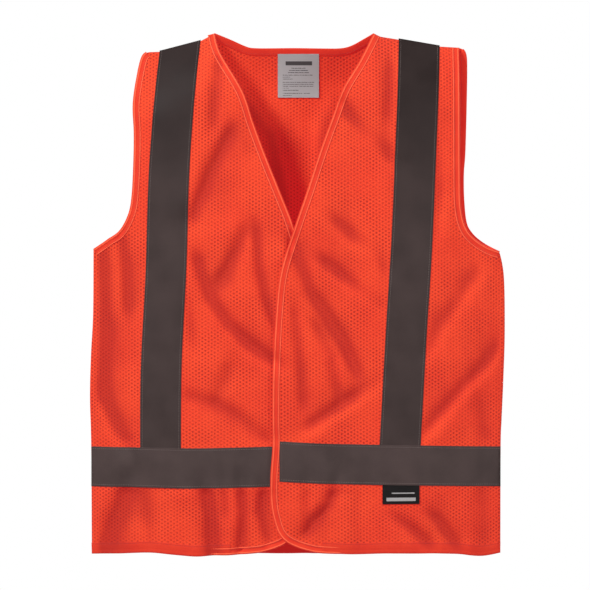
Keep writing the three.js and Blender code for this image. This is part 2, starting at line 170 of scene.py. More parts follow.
# ---------------------------------------------------------------- how the cloth hangs
# Creases, each a groove along points (x, z) as wide as the run, with its right-hand side lower than
# its left one and easing back over the reach: (points, depth, run, reach).
FRONT_FOLDS = [
    ([(-0.098, -0.046), (-0.101, -0.080), (-0.104, -0.118)], 0.0024, 0.008, 0.030),
    ([(-0.086, -0.136), (-0.106, -0.175), (-0.118, -0.205), (-0.128, -0.228)], 0.0036, 0.009, 0.034),
    ([(-0.066, -0.258), (-0.078, -0.284), (-0.090, -0.308)], 0.0030, 0.009, 0.026),
    ([(-0.048, -0.260), (-0.045, -0.300), (-0.038, -0.336), (-0.028, -0.368)], 0.0026, 0.006, 0.022),
    ([(-0.122, -0.298), (-0.106, -0.340), (-0.083, -0.373), (-0.055, -0.399), (-0.030, -0.416)],
     0.0034, 0.008, 0.032),
    ([(-0.135, -0.352), (-0.131, -0.386)], 0.0016, 0.007, 0.020),
    ([(-0.128, -0.462), (-0.098, -0.470), (-0.070, -0.485), (-0.042, -0.509)], -0.0018, 0.008, 0.026),
    ([(-0.084, -0.428), (-0.095, -0.452)], 0.0020, 0.009, 0.024),
    ([(-0.249, -0.282), (-0.245, -0.330), (-0.242, -0.380), (-0.246, -0.440)], 0.0042, 0.010, 0.026),
    ([(-0.219, -0.268), (-0.214, -0.300), (-0.213, -0.345)], 0.0030, 0.008, 0.022),
    ([(-0.240, -0.470), (-0.226, -0.500), (-0.214, -0.524)], 0.0032, 0.009, 0.026),
    ([(-0.210, -0.566), (-0.222, -0.600), (-0.240, -0.645)], 0.0046, 0.012, 0.034),
    ([(-0.190, -0.600), (-0.184, -0.640)], 0.0014, 0.007, 0.020),
    ([(-0.116, -0.574), (-0.108, -0.610), (-0.105, -0.664)], 0.0042, 0.009, 0.030),
    ([(-0.090, -0.574), (-0.088, -0.604)], 0.0016, 0.005, 0.014),
    ([(-0.070, -0.570), (-0.066, -0.610), (-0.069, -0.650)], 0.0034, 0.006, 0.022),
    ([(-0.041, -0.578), (-0.043, -0.608), (-0.036, -0.638)], 0.0026, 0.006, 0.020),
    ([(0.060, -0.098), (0.084, -0.122), (0.106, -0.144), (0.132, -0.170)], 0.0034, 0.009, 0.034),
    ([(0.120, -0.020), (0.117, -0.060), (0.116, -0.100)], 0.0026, 0.007, 0.026),
    ([(0.057, -0.246), (0.076, -0.263), (0.098, -0.278), (0.112, -0.300)], 0.0030, 0.008, 0.026),
    ([(0.044, -0.297), (0.076, -0.3226), (0.106, -0.346)], 0.0026, 0.007, 0.026),
    ([(-0.001, -0.278), (0.019, -0.330), (0.041, -0.362), (0.058, -0.390), (0.078, -0.430)],
     0.0036, 0.008, 0.030),
    ([(0.0, -0.362), (0.006, -0.412), (0.009, -0.462)], 0.0024, 0.006, 0.020),
    ([(0.030, -0.380), (0.046, -0.412), (0.052, -0.446)], 0.0026, 0.007, 0.022),
    ([(0.028, -0.494), (0.060, -0.473), (0.098, -0.449)], 0.0032, 0.008, 0.026),
    ([(0.168, -0.404), (0.186, -0.371), (0.206, -0.345), (0.227, -0.312)], 0.0017, 0.009, 0.030),
    ([(0.172, -0.500), (0.206, -0.460), (0.236, -0.429), (0.258, -0.402)], 0.0026, 0.008, 0.030),
    ([(0.180, -0.250), (0.186, -0.205), (0.182, -0.150)], 0.0016, 0.008, 0.024),
    ([(0.236, -0.470), (0.243, -0.520)], 0.0016, 0.008, 0.020),
    ([(0.014, -0.572), (0.015, -0.606)], 0.0022, 0.006, 0.020),
    ([(0.050, -0.572), (0.042, -0.598), (0.020, -0.624)], 0.0030, 0.007, 0.026),
    ([(0.112, -0.596), (0.136, -0.620), (0.162, -0.644)], 0.0032, 0.008, 0.028),
    ([(0.160, -0.600), (0.182, -0.620), (0.200, -0.645)], 0.0030, 0.007, 0.026),
    ([(0.080, -0.600), (0.084, -0.645)], 0.0018, 0.007, 0.022),
    ([(0.236, -0.580), (0.240, -0.640)], 0.0018, 0.008, 0.024),
]
BACK_FOLDS = [
    ([(-0.070, -0.078), (-0.030, -0.128), (-0.012, -0.210)], -0.0026, 0.009, 0.036),
    ([(0.040, -0.090), (0.030, -0.190), (0.036, -0.290)], 0.0022, 0.011, 0.040),
    ([(-0.100, -0.170), (-0.076, -0.280), (-0.084, -0.390)], 0.0032, 0.011, 0.040),
    ([(0.096, -0.210), (0.082, -0.330), (0.092, -0.450)], -0.0030, 0.011, 0.040),
    ([(-0.010, -0.330), (0.004, -0.430), (-0.006, -0.516)], 0.0028, 0.010, 0.036),
    ([(0.222, -0.300), (0.206, -0.400), (0.222, -0.500)], -0.0026, 0.010, 0.034),
    ([(-0.222, -0.320), (-0.204, -0.410), (-0.220, -0.510)], 0.0026, 0.010, 0.034),
    ([(-0.180, -0.585), (-0.172, -0.655)], 0.0034, 0.008, 0.030),
    ([(-0.080, -0.580), (-0.088, -0.655)], -0.0032, 0.008, 0.028),
    ([(0.020, -0.580), (0.026, -0.655)], 0.0032, 0.008, 0.028),
    ([(0.104, -0.580), (0.096, -0.655)], -0.0030, 0.008, 0.028),
    ([(0.206, -0.585), (0.212, -0.655)], 0.0030, 0.009, 0.030),
]
CREASE_END = 0.020  # how a crease fades past its ends
FOLD_SOFT = 0.030  # the cloth lies flatter this near the fold line of the left front
TAPE_FLATTENS = 0.52

# Middle of each shoulder tape: at the shoulder, half way down and at its lower end, on the front
SHOULDER_TAPES = {
    "right": [
        (-0.1460, -0.016), (-0.1580, -0.165), (-0.1625, -0.300), (-0.1688, -0.430), (-0.1694, -0.576),
    ],
    "left": [(0.1590, -0.012), (0.1530, -0.160), (0.1482, -0.270), (0.1402, -0.400), (0.1306, -0.576)],
}
SHOULDER_TAPE_WIDTH = 0.0522
BACK_TAPE_FOOT = {"right": -0.1530, "left": 0.1530}
# Middle of the waist tape across the front
WAIST_LINES = {
    "right": [
        (-0.2592, -0.5520), (-0.1700, -0.5521), (-0.1219, -0.5524), (-0.0270, -0.5500), (0.0250, -0.5490),
    ],
    "left": [
        (-0.0190, -0.5432), (0.0, -0.5443), (0.0400, -0.5462), (0.0826, -0.5473), (0.1590, -0.5490),
        (0.2628, -0.5520),
    ],
}
WAIST_TAPE_WIDTH = 0.0508


def colour_property(name, description, default):
    return bpy.props.FloatVectorProperty(
        name=name, description=description, default=default, subtype="COLOR", size=3, min=0, max=1
    )


def length_property(name, description, default):
    return bpy.props.FloatProperty(
        name=name, description=description, default=default, min=0, unit="LENGTH", precision=5
    )


class VestSizes(bpy.types.PropertyGroup):
    cloth_step: length_property("Cloth mesh", "Size of the triangles of the cloth panels", 0.0036)
    binding_width: length_property("Binding", "Width of the edge binding", 0.0085)
    hem_width: length_property("Hem", "Height of the hem facing", 0.0135)
    column_pitch: length_property("Hole columns", "From one column of holes to the next", 0.0040)
    row_pitch: length_property("Hole rows", "From hole to hole along a column", 0.00465)
    hole_radius: length_property("Hole", "Radius of a hole in the knit", 0.00125)
    stitch_pitch: length_property("Stitch pitch", "From stitch to stitch", 0.0031)
    stitch_length: length_property("Stitch", "Length of one stitch", 0.0021)
    relief: bpy.props.FloatProperty(
        name="Folds", description="How strong the folds of the cloth are", default=1.75, min=0, max=3
    )


class VestColours(bpy.types.PropertyGroup):
    cloth: colour_property("Cloth", "Fluorescent knit", (0.37, 0.033, 0.0065))
    cloth_deep: colour_property("Cloth, deep", "Duller patches of the knit", (0.33, 0.024, 0.0055))
    # painted highlight: the lighter flecks on the knit's loops
    yarn: colour_property("Yarn", "Bright loops of the knit", (0.60, 0.090, 0.022))
    # painted shade: the colour of the knit in the hollows of its folds
    painted_fold_shade: colour_property("Hollows", "Knit in the hollows of the folds", (0.150, 0.006, 0.004))
    # painted shade: the dark colour in the knit's holes, which are not cut through
    hole: colour_property("Holes", "Depth of the knit's holes", (0.040, 0.004, 0.004))
    binding: colour_property("Binding", "Edge binding and hem", (0.36, 0.031, 0.0065))
    # painted highlight: the lighter colour along the tops of the binding's ridges
    ridge: colour_property("Ridges", "Light ridges of the binding", (0.62, 0.150, 0.060))
    # also the dark line where the binding meets the knit: the joint, with painted shade in its groove
    seam: colour_property("Seam thread", "Thread in the binding's groove", (0.12, 0.006, 0.004))
    tape: colour_property("Tape", "Reflective tape", (0.0300, 0.0205, 0.0196))
    tape_thread: colour_property("Tape thread", "Thread along the tape", (0.13, 0.095, 0.088))
    label: colour_property("Label", "Care label satin", (0.285, 0.295, 0.30))
    ink: colour_property("Ink", "Print on the care label", (0.016, 0.014, 0.016))
    tab: colour_property("Tab", "Woven tab", (0.006, 0.005, 0.005))
    tab_mark: colour_property("Tab mark", "Light yarn of the woven tab", (0.40, 0.38, 0.38))


def sizes():
    return bpy.context.scene.vest_sizes


def colours():
    return bpy.context.scene.vest_colours


# ---------------------------------------------------------------- the body surface
def smooth(t):
    t = np.clip(t, 0.0, 1.0)
    return t * t * (3 - 2 * t)


def along_z(points, z):
    """x of a line of points at height z."""
    line = sorted((p[1], p[0]) for p in points)
    return np.interp(z, [p[0] for p in line], [p[1] for p in line])


def along_x(points, x):
    """z of a line of points at x."""
    line = sorted(points)
    return np.interp(x, [p[0] for p in line], [p[1] for p in line])


def ridge(x):
    return along_x(SHOULDERS, x)


def seam_distance(x, z):
    """Distance from the middle to the side seam, on the side that x lies on."""
    return np.where(x > 0, along_z(LEFT_SIDE, z), -along_z(RIGHT_SIDE, z))


def body_depth(side, x, z):
    across = np.clip((np.abs(x) - FLAT_HALF) / (seam_distance(x, z) - FLAT_HALF), 0, 1)
    down = np.clip((ridge(x) - z) / ARCH_HEIGHT, 0, 1)
    return BODY_DEPTH[side] * (1 - across**BULGE_POWER) * (1 - (1 - down) ** 2)


def crease(points, depth, run, reach, x, z):
    """Height that one crease adds at x and z."""
    nearest = np.full(x.shape, 1e9)
    height = np.zeros(x.shape)
    last = len(points) - 2
    for i, (a, b) in enumerate(zip(points, points[1:])):
        step_x, step_z = b[0] - a[0], b[1] - a[1]
        length = math.hypot(step_x, step_z)
        along = ((x - a[0]) * step_x + (z - a[1]) * step_z) / length
        # a crease drawn downwards has its right-hand side on the -across side
        across = ((x - a[0]) * -step_z + (z - a[1]) * step_x) / length
        beyond = np.maximum(np.maximum(-along, along - length), 0)
        distance = np.hypot(across, beyond)
        fades = np.where(along < 0, i == 0, np.where(along > length, i == last, False))
        fade = np.where(fades, np.exp(-((beyond / CREASE_END) ** 2)), 1.0)
        groove = 1.3 * abs(depth) * np.exp(-((across / (1.15 * run)) ** 2))
        fall = 0.55 * depth * np.tanh(across / run) * np.exp(-((across / reach) ** 2))
        here = -(groove + fall) * fade
        height = np.where(distance < nearest, here, height)
        nearest = np.minimum(nearest, distance)
    return height


def tape_cover(side, x, z):
    """1 under the tapes, fading to 0 beside them."""
    soft = 0.010
    half = WAIST_TAPE_WIDTH / 2
    middle = (TAPE_TOP + TAPE_BOTTOM) / 2
    cover = 1 - smooth((np.abs(z - middle) - half) / soft)
    for hand, line in SHOULDER_TAPES.items():
        if side == FRONT:
            x_middle = along_z(line, z)
        else:
            x_middle = np.full(x.shape, BACK_TAPE_FOOT[hand])
        upright = 1 - smooth((np.abs(x - x_middle) - half) / soft)
        cover = np.maximum(cover, upright * (z > TAPE_BOTTOM))
    return cover


def flat_patch(x, z, node, margin):
    """0 on a labelled patch, where the cloth lies flat, rising to 1 past the margin."""
    (x0, _, z0), (x1, _, z1) = low(node), high(node)
    gap_x = np.maximum(np.maximum(x0 - x, x - x1), 0)
    gap_z = np.maximum(np.maximum(z0 - z, z - z1), 0)
    return smooth(np.hypot(gap_x, gap_z) / margin)


def ripple(side, x, z):
    """Small uneven swells that no cloth is without."""
    swell = np.sin(61 * x + 23 * z + 1.3 * side) * np.sin(47 * z - 19 * x + 0.7)
    pucker = np.sin(173 * x - 60 * z + side) * np.sin(97 * z + 151 * x)
    return 0.0007 * swell + 0.00022 * pucker


# Below the neck the cloth lies in a little: (depth, half width, z of the middle, half height)
SAG = {FRONT: (0.005, 0.085, -0.13, 0.075), BACK: (0.009, 0.075, -0.175, 0.060)}


def relief(side, x, z, folds_only=False):
    """Height of the folds over the body surface, with the cloth's broad sag unless left out."""
    folds = FRONT_FOLDS if side == FRONT else BACK_FOLDS
    height = sum(crease(*fold, x, z) for fold in folds) + ripple(side, x, z)
    height = height * (1 - TAPE_FLATTENS * tape_cover(side, x, z))
    height = height * smooth((seam_distance(x, z) - np.abs(x)) / 0.014)
    height = height * smooth((ridge(x) - z) / 0.045)
    if side == FRONT:
        height = height * (0.28 + 0.72 * smooth(np.abs(x - FOLD_X) / FOLD_SOFT))
        height = height * flat_patch(x, z, "maker_tab", 0.03)
    else:
        height = height * flat_patch(x, z, "care_label", 0.03)
    height = height * sizes().relief
    if folds_only:
        return height
    depth, half_width, middle, half_height = SAG[side]
    height = height - depth * np.exp(-((x / half_width) ** 2) - ((z - middle) / half_height) ** 2)
    room = 0.6 * body_depth(side, x, z) + 0.0001
    return np.where(height < 0, -room * np.tanh(-height / room), height)


def overlap_lift(x):
    return OVERLAP_LIFT * smooth((LIFT_FROM - x) / (LIFT_FROM - LIFT_TO))


def no_lift(x):
    return np.zeros(np.shape(x))


# painted shade in the folds is darkest this deep
FOLD_SHADE_DEPTH = 0.0075  # a hollow this deep has the deepest colour
SEAM_GAP = 0.00008  # front and back never cross the middle plane


def surface(side, x, z, offset, lift=no_lift):
    """Points of the vest at x and z, offset outwards from the body surface."""
    x, z, offset = np.broadcast_arrays(*(np.asarray(v, float) for v in (x, z, offset)))
    out = body_depth(side, x, z) + relief(side, x, z) + lift(x) + offset
    out = np.maximum(out, SEAM_GAP * (1 + (offset > CLOTH_MIDDLE)))
    return np.stack([x, side * out, z], -1)


def cloth_length_table():
    """Length of the cloth from the middle out to x, at full depth."""
    x = np.linspace(0, 0.27, 200)
    y = body_depth(FRONT, x, np.full(x.shape, -0.4))
    steps = np.hypot(np.diff(x), np.diff(y))
    return x, np.concatenate([[0], np.cumsum(steps)])


TABLE_X, TABLE_LENGTH = cloth_length_table()


def cloth_u(x):
    return np.sign(x) * np.interp(np.abs(x), TABLE_X, TABLE_LENGTH)


# ---------------------------------------------------------------- lines and outlines
def rounded(points, parts=7):
    """Smooth line through the points, as (x, z) rows."""
    p = np.array([points[0], *points, points[-1]], float)
    rows = []
    for a, b, c, d in zip(p, p[1:], p[2:], p[3:]):
        for t in np.linspace(0, 1, parts, endpoint=False):
            rows.append(
                0.5 * (2 * b + (c - a) * t + (2 * a - 5 * b + 4 * c - d) * t**2
                       + (3 * b - a - 3 * c + d) * t**3)
            )
    rows.append(p[-1])
    return np.array(rows)


def evenly(line, step):
    """The line cut into even steps, its ends kept."""
    run = lengths(line)
    at = np.linspace(0, run[-1], max(1, round(run[-1] / step)) + 1)
    return np.stack([np.interp(at, run, line[:, 0]), np.interp(at, run, line[:, 1])], -1)


def outline(lines, step):
    """Closed outline from lines that follow each other end to end."""
    return np.concatenate([evenly(line, step)[:-1] for line in lines])


def shoulder_line(start, end):
    xs = np.linspace(start, end, 30)
    return np.stack([xs, ridge(xs)], -1)


def inward(line, left=True):
    """Unit normals along a line, to the left of travel or to the right."""
    tangent = np.gradient(line, axis=0)
    tangent /= np.linalg.norm(tangent, axis=1)[:, None]
    normal = np.stack([-tangent[:, 1], tangent[:, 0]], -1)
    return normal if left else -normal


# ---------------------------------------------------------------- meshes
class Build:
    """Collects vertices, faces and map coordinates of one piece, and makes its object."""

    def __init__(self):
        self.points, self.faces, self.maps, self.bakes, self.flat, self.finishes = [], [], [], [], [], []

    def add_points(self, points):
        start = len(self.points)
        self.points.extend(map(tuple, points))
        return start

    def add_face(self, corners, uv, bake, flat=False, finish=0):
        self.faces.append(tuple(corners))
        self.maps.extend(uv)
        self.bakes.extend(bake)
        self.flat.append(flat)
        self.finishes.append(finish)

    def make(self, name, materials):
        mesh = bpy.data.meshes.new(name)
        mesh.from_pydata(self.points, [], self.faces)
        for label, values in (("weave", self.maps), ("OFBake", self.bakes)):
            layer = mesh.uv_layers.new(name=label)
            layer.data.foreach_set("uv", np.array(values, np.float32).ravel())
        mesh.polygons.foreach_set("use_smooth", np.array([not f for f in self.flat]))
        mesh.polygons.foreach_set("material_index", np.array(self.finishes, np.int32))
        for material in materials:
            mesh.materials.append(material)
        shell = bmesh.new()
        shell.from_mesh(mesh)
        bmesh.ops.recalc_face_normals(shell, faces=shell.faces)
        shell.to_mesh(mesh)
        shell.free()
        mesh.update()
        made = bpy.data.objects.new(name, mesh)
        bpy.context.scene.collection.objects.link(made)
        return made


def inside(polygon, points):
    x, z = points[:, :1], points[:, 1:]
    x0, z0 = polygon[:, 0], polygon[:, 1]
    x1, z1 = np.roll(x0, -1), np.roll(z0, -1)
    with np.errstate(divide="ignore", invalid="ignore"):
        crossing = ((z0 > z) != (z1 > z)) & (x < (x1 - x0) * (z - z0) / (z1 - z0) + x0)
    return crossing.sum(1) % 2 == 1


def lattice(polygon, step):
    """Even triangular lattice of points inside an outline, clear of its edge."""
    low_corner, high_corner = polygon.min(0), polygon.max(0)
    row_height = step * math.sqrt(3) / 2
    rows = int((high_corner[1] - low_corner[1]) / row_height) + 1
    columns = int((high_corner[0] - low_corner[0]) / step) + 2
    j, i = np.mgrid[0:rows, 0:columns]
    points = np.stack([(low_corner[0] + (i + (j % 2) / 2) * step).ravel(),
                       (low_corner[1] + j * row_height).ravel()], -1)
    points = points[inside(polygon, points)]
    nearest = np.full(len(points), 1e9)
    for start in range(0, len(polygon), 100):
        part = polygon[start:start + 100]
        gaps = np.hypot(points[:, None, 0] - part[:, 0], points[:, None, 1] - part[:, 1])
        nearest = np.minimum(nearest, gaps.min(1))
    return points[nearest > 0.6 * step]


def panel(name, lines, side, lift, materials):
    """Closed cloth panel over an outline."""
    step = sizes().cloth_step
    edge = outline(lines, step)
    flat_points = np.concatenate([edge, lattice(edge, step)])
    cut = delaunay_2d_cdt([Vector(p) for p in flat_points], [], [list(range(len(edge)))], 1, 1e-6)
    flat_points = np.array([tuple(v) for v in cut[0]])
    triangles = cut[2]
    source = [list(o) for o in cut[3]]
    edge_at = {o: i for i, origins in enumerate(source) for o in origins if o < len(edge)}
    loop = [edge_at[i] for i in range(len(edge))]
    x, z = flat_points[:, 0], flat_points[:, 1]
    build = Build()
    outer = build.add_points(surface(side, x, z, CLOTH_FAR, lift))
    inner = build.add_points(surface(side, x, z, CLOTH_NEAR, lift))
    weave = np.stack([cloth_u(x), z], -1)
    low_corner = weave.min(0)
    width, height = np.ptp(weave[:, 0]) * 1.03, np.ptp(weave[:, 1]) * 1.03
    unit = (weave - low_corner) / (width, height) + 0.012
    unit_outer = unit * (0.5, 1)
    unit_inner = unit_outer + (0.5, 0)
    for a, b, c in triangles:
        uv = [weave[a], weave[b], weave[c]]
        build.add_face((outer + a, outer + b, outer + c), uv, [unit_outer[k] for k in (a, b, c)])
        back = (c, b, a)
        build.add_face([inner + k for k in back], [weave[k] for k in back], [unit_inner[k] for k in back])
    for a, b in zip(loop, loop[1:] + loop[:1]):
        corners = (outer + a, outer + b, inner + b, inner + a)
        out = np.array([0.0, 0.0012])
        bake = [unit_outer[a], unit_outer[b], unit_outer[b] + out, unit_outer[a] + out]
        build.add_face(corners, [weave[a], weave[b], weave[b], weave[a]], bake, flat=True)
    made = build.make(name, materials)
    # painted shade in the hollows of the panel's folds
    mark_painted_fold_shade(made, side)
    return made


def mark_painted_fold_shade(made, side):
    """Store how deep in a fold each point lies, for the painted shade in the folds."""
    spots = np.array([vertex.co[:] for vertex in made.data.vertices])
    painted_fold_shade = smooth(-relief(side, spots[:, 0], spots[:, 2], folds_only=True) / FOLD_SHADE_DEPTH)
    layer = made.data.attributes.new("painted_fold_shade", "FLOAT", "POINT")
    layer.data.foreach_set("value", painted_fold_shade)


def folded_rows(length, perimeter):
    """How many rows a long strip is cut into to fill its square map."""
    return max(1, round(math.sqrt(length / perimeter)))


def grid_skin(build, rows, us, vs, rims=()):
    """Skin over rows of points that each run round a closed section, with both ends closed.

    us are lengths along the strip, one for each row; vs lengths round the section. The faces that
    start at the rims' places in the section are a slab's flat edges."""
    count = len(rows[0])
    start = build.add_points(np.concatenate(rows))
    total, girth = us[-1] - us[0], vs[-1]
    folds = folded_rows(total, girth)

    def bake(u, v, fold):
        return ((u - us[0]) / total * folds - fold, (fold + 0.02 + 0.96 * v / girth) / folds)

    for r in range(len(rows) - 1):
        middle = (us[r] + us[r + 1]) / 2 - us[0]
        fold = min(folds - 1, int(middle / total * folds))
        for k in range(count):
            nxt = (k + 1) % count
            corners = [start + r * count + k, start + (r + 1) * count + k,
                       start + (r + 1) * count + nxt, start + r * count + nxt]
            spots = [(us[r], vs[k]), (us[r + 1], vs[k]), (us[r + 1], vs[k + 1]), (us[r], vs[k + 1])]
            baked = [np.clip(bake(u, v, fold), 0.001, 0.999) for u, v in spots]
            build.add_face(corners, spots, baked, flat=k in rims)
    for r in (0, len(rows) - 1):
        corners = [start + r * count + k for k in range(count)]
        spots = [(us[r], vs[k]) for k in range(count)]
        fold = 0 if r == 0 else folds - 1
        baked = [np.clip(bake(u, v, fold), 0.001, 0.999) for u, v in spots]
        build.add_face(corners, spots, baked, flat=True)


def lengths(points):
    """How far along the points each one lies."""
    steps = np.linalg.norm(np.diff(points, axis=0), axis=1)
    return np.concatenate([[0], np.cumsum(steps)])


def swept(build, line, normals, profile, side, lift=no_lift, tuck=0.0):
    """Closed profile of (distance in from the edge, offset from the body) swept along an edge.

    The last stretch, as long as the tuck, thins down to lie inside a hem facing."""
    rows = []
    run = lengths(line)
    thinner = 0.5 * smooth((run - run[-1] + tuck) / tuck) if tuck else np.zeros(len(run))
    for point, normal, thin in zip(line, normals, thinner):
        spots = point + (profile[:, :1] * (1 - 0.1 * thin) + 0.001 * thin) * normal
        offset = CLOTH_MIDDLE + (profile[:, 1] - CLOTH_MIDDLE) * (1 - thin)
        rows.append(surface(side, spots[:, 0], spots[:, 1], offset, lift))
    girth = lengths(np.concatenate([profile, profile[:1]]))
    grid_skin(build, rows, run, girth)


def band(build, rows, near_far):
    """Flat tape over rows of outer points, given as functions of offset: rows(offset) -> points."""
    near, far = near_far
    outer, inner = rows(far), rows(near)
    loops = [np.concatenate([o, i[::-1]]) for o, i in zip(outer, inner)]
    middle = np.array([row[len(row) // 2] for row in outer])
    width = lengths(outer[len(outer) // 2])
    girth = np.concatenate([width, width[-1] + (far - near) + width, [2 * width[-1] + 2 * (far - near)]])
    columns = len(width)
    grid_skin(build, loops, lengths(middle), girth, rims=(columns - 1, 2 * columns - 1))
    return outer


STITCH_RADIUS = 0.00026
STITCH_SIDES = 5
# Along one stitch: (share of its length, share of its radius, how far out it lies)
STITCH_SECTIONS = ((0.0, 0.25, -0.00016), (0.18, 0.85, 0.0), (0.82, 0.85, 0.0), (1.0, 0.25, -0.00016))
THREAD = 1  # the thread's place among a sewn piece's finishes


def stitches(build, line):
    """Row of stitches along a line of points, each a short raised thread whose ends sink in."""
    length, pitch = sizes().stitch_length, sizes().stitch_pitch
    line = np.array(line)
    run = lengths(line)
    for start in np.arange(pitch / 2, run[-1] - length, pitch):
        spots = [np.array([np.interp(start + share * length, run, line[:, k]) for k in range(3)])
                 for share, _, _ in STITCH_SECTIONS]
        tangent = spots[-1] - spots[0]
        tangent /= np.linalg.norm(tangent)
        out = np.array([0.0, np.sign(spots[0][1]), 0.0])
        out -= tangent * (out @ tangent)
        out /= np.linalg.norm(out)
        across = np.cross(tangent, out)
        rings = []
        for spot, (_, size, sink) in zip(spots, STITCH_SECTIONS):
            turns = np.arange(STITCH_SIDES) * 2 * math.pi / STITCH_SIDES
            ring = [spot + out * sink + STITCH_RADIUS * size * (math.cos(t) * out + math.sin(t) * across)
                    for t in turns]
            rings.append(ring)
        first = build.add_points([p for ring in rings for p in ring])
        spot_uv = (0.5, 0.5)
        for r in range(len(rings) - 1):
            for k in range(STITCH_SIDES):
                n = (k + 1) % STITCH_SIDES
                corners = [first + r * STITCH_SIDES + k, first + (r + 1) * STITCH_SIDES + k,
                           first + (r + 1) * STITCH_SIDES + n, first + r * STITCH_SIDES + n]
                bake = [(0.990 + 0.002 * r, 0.990 + 0.001 * k), (0.992 + 0.002 * r, 0.990 + 0.001 * k),
                        (0.992 + 0.002 * r, 0.991 + 0.001 * k), (0.990 + 0.002 * r, 0.991 + 0.001 * k)]
                build.add_face(corners, [spot_uv] * 4, bake, finish=THREAD)
        for r in (0, len(rings) - 1):
            corners = [first + r * STITCH_SIDES + k for k in range(STITCH_SIDES)]
            bake = [(0.990 + 0.001 * k, 0.998 + 0.0005 * (k % 2)) for k in range(STITCH_SIDES)]
            build.add_face(corners, [spot_uv] * STITCH_SIDES, bake, finish=THREAD)


# ---------------------------------------------------------------- shader nodes
class Value:
    """A number that varies over a surface; arithmetic on it adds Math nodes."""

    def __init__(self, tree, socket):
        self.tree, self.socket = tree, socket

    def math(self, operation, *others):
        node = self.tree.nodes.new("ShaderNodeMath")
        node.operation = operation
        for socket, value in zip(node.inputs, others):
            plug(self.tree, socket, value)
        return Value(self.tree, node.outputs[0])

    def __add__(self, other):
        return self.math("ADD", self, other)

    __radd__ = __add__

    def __sub__(self, other):
        return self.math("SUBTRACT", self, other)

    def __rsub__(self, other):
        return self.math("SUBTRACT", other, self)

    def __mul__(self, other):
        return self.math("MULTIPLY", self, other)

    __rmul__ = __mul__

    def __truediv__(self, other):
        return self.math("DIVIDE", self, other)

    def fraction(self):
        return self.math("FRACT", self)

    def absolute(self):
        return self.math("ABSOLUTE", self)

    def sine(self):
        return self.math("SINE", self)

    def root(self):
        return self.math("SQRT", self)

    def least(self, other):
        return self.math("MINIMUM", self, other)

    def most(self, other):
        return self.math("MAXIMUM", self, other)


def highest(masks):
    """The highest of several values, point by point."""
    return functools.reduce(Value.most, masks)


def wave(value, pitch):
    """0 to 1 and back over each pitch."""
    return (value * (2 * math.pi / pitch)).sine() * 0.5 + 0.5


def shaded(colour, share):
    """A colour, darker or lighter."""
    return [channel * share for channel in colour]


def plug(tree, socket, value):
    if isinstance(value, Value):
        tree.links.new(value.socket, socket)
    elif isinstance(value, bpy.types.NodeSocket):
        tree.links.new(value, socket)
    else:
        socket.default_value = value


def opaque(colour):
    return colour if isinstance(colour, Value) else (*colour, 1)


class Finish:
    """A procedural material and the nodes that it is made of."""

    def __init__(self, name, roughness, **constants):
        self.material = bpy.data.materials.new(name)
        self.material.use_nodes = True
        self.tree = self.material.node_tree
        self.shader = self.tree.nodes["Principled BSDF"]
        self.set(Roughness=roughness, **constants)

    def set(self, **values):
        for name, value in values.items():
            plug(self.tree, self.shader.inputs[name.replace("_", " ")], value)

    def node(self, kind, settings=None, output=0, places=None, **values):
        """A node's output. Its sockets are filled by place where they share a name, else by name."""
        node = self.tree.nodes.new(kind)
        for key, value in (settings or {}).items():
            setattr(node, key, value)
        for place, value in (places or {}).items():
            plug(self.tree, node.inputs[place], value)
        for name, value in values.items():
            plug(self.tree, node.inputs[name.replace("_", " ")], value)
        return Value(self.tree, node.outputs[output])

    def weave_map(self):
        """The piece's own map, in metres: the vector, and its two lengths."""
        vector = self.node("ShaderNodeUVMap", {"uv_map": "weave"})
        u, v = (self.node("ShaderNodeSeparateXYZ", None, axis, Vector=vector) for axis in "XY")
        return vector, u, v

    def ramp(self, value, start, end):
        """0 to 1, smoothly, as value goes from start to end."""
        settings = {"interpolation_type": "SMOOTHSTEP"}
        return self.node("ShaderNodeMapRange", settings, Value=value, From_Min=start, From_Max=end)

    def mix(self, share, first, second):
        """Colour between two others."""
        places = {0: share, 6: opaque(first), 7: opaque(second)}
        return self.node("ShaderNodeMix", {"data_type": "RGBA"}, 2, places)

    def noise(self, vector, scale, detail=2.0):
        return self.node("ShaderNodeTexNoise", Vector=vector, Scale=scale, Detail=detail)

    def bump(self, height, distance, strength=1.0):
        normal = self.node("ShaderNodeBump", Height=height, Distance=distance, Strength=strength)
        self.set(Normal=normal)

    def painted_glow(self, colour, share=1.0):
        """Painted light: an emission that stands in for the fluorescent dye's light and keeps the shade
        bright, as a share of the cloth's.
        """
        self.set(Emission_Color=opaque(colour), Emission_Strength=PAINTED_GLOW_STRENGTH * share)


FLUORESCENT = {"Sheen_Weight": 0.03, "Sheen_Roughness": 0.5, "Specular_IOR_Level": 0.12}
# painted light: a steady emission for the dye's fluorescence, which also keeps the cloth bright red in
# shade
PAINTED_GLOW_STRENGTH = 0.37
PAINTED_GLOW_COLOUR = (1.0, 0.026, 0.032)
# the painted emission, dimmed as painted shade in the holes and in the hollows of the folds
DIM_PAINTED_GLOW = (0.1, 0.004, 0.006)  # in holes and in the hollows of folds


def knit_height(u, v):
    """Fine loops of a knit: rows that zigzag from wale to wale."""
    wale, course = 0.00100, 0.00116
    zigzag = ((u / wale).fraction() - 0.5).absolute() * course
    return wave(v + zigzag, course)


def with_painted_fold_shade(finish, cloth):
    """The cloth's colour with painted shade in the hollows of its folds, and the share of that shade."""
    painted_fold_shade = finish.node("ShaderNodeAttribute", {"attribute_name": "painted_fold_shade"}, "Fac")
    return finish.mix(painted_fold_shade * 0.62, cloth, colours().painted_fold_shade), painted_fold_shade


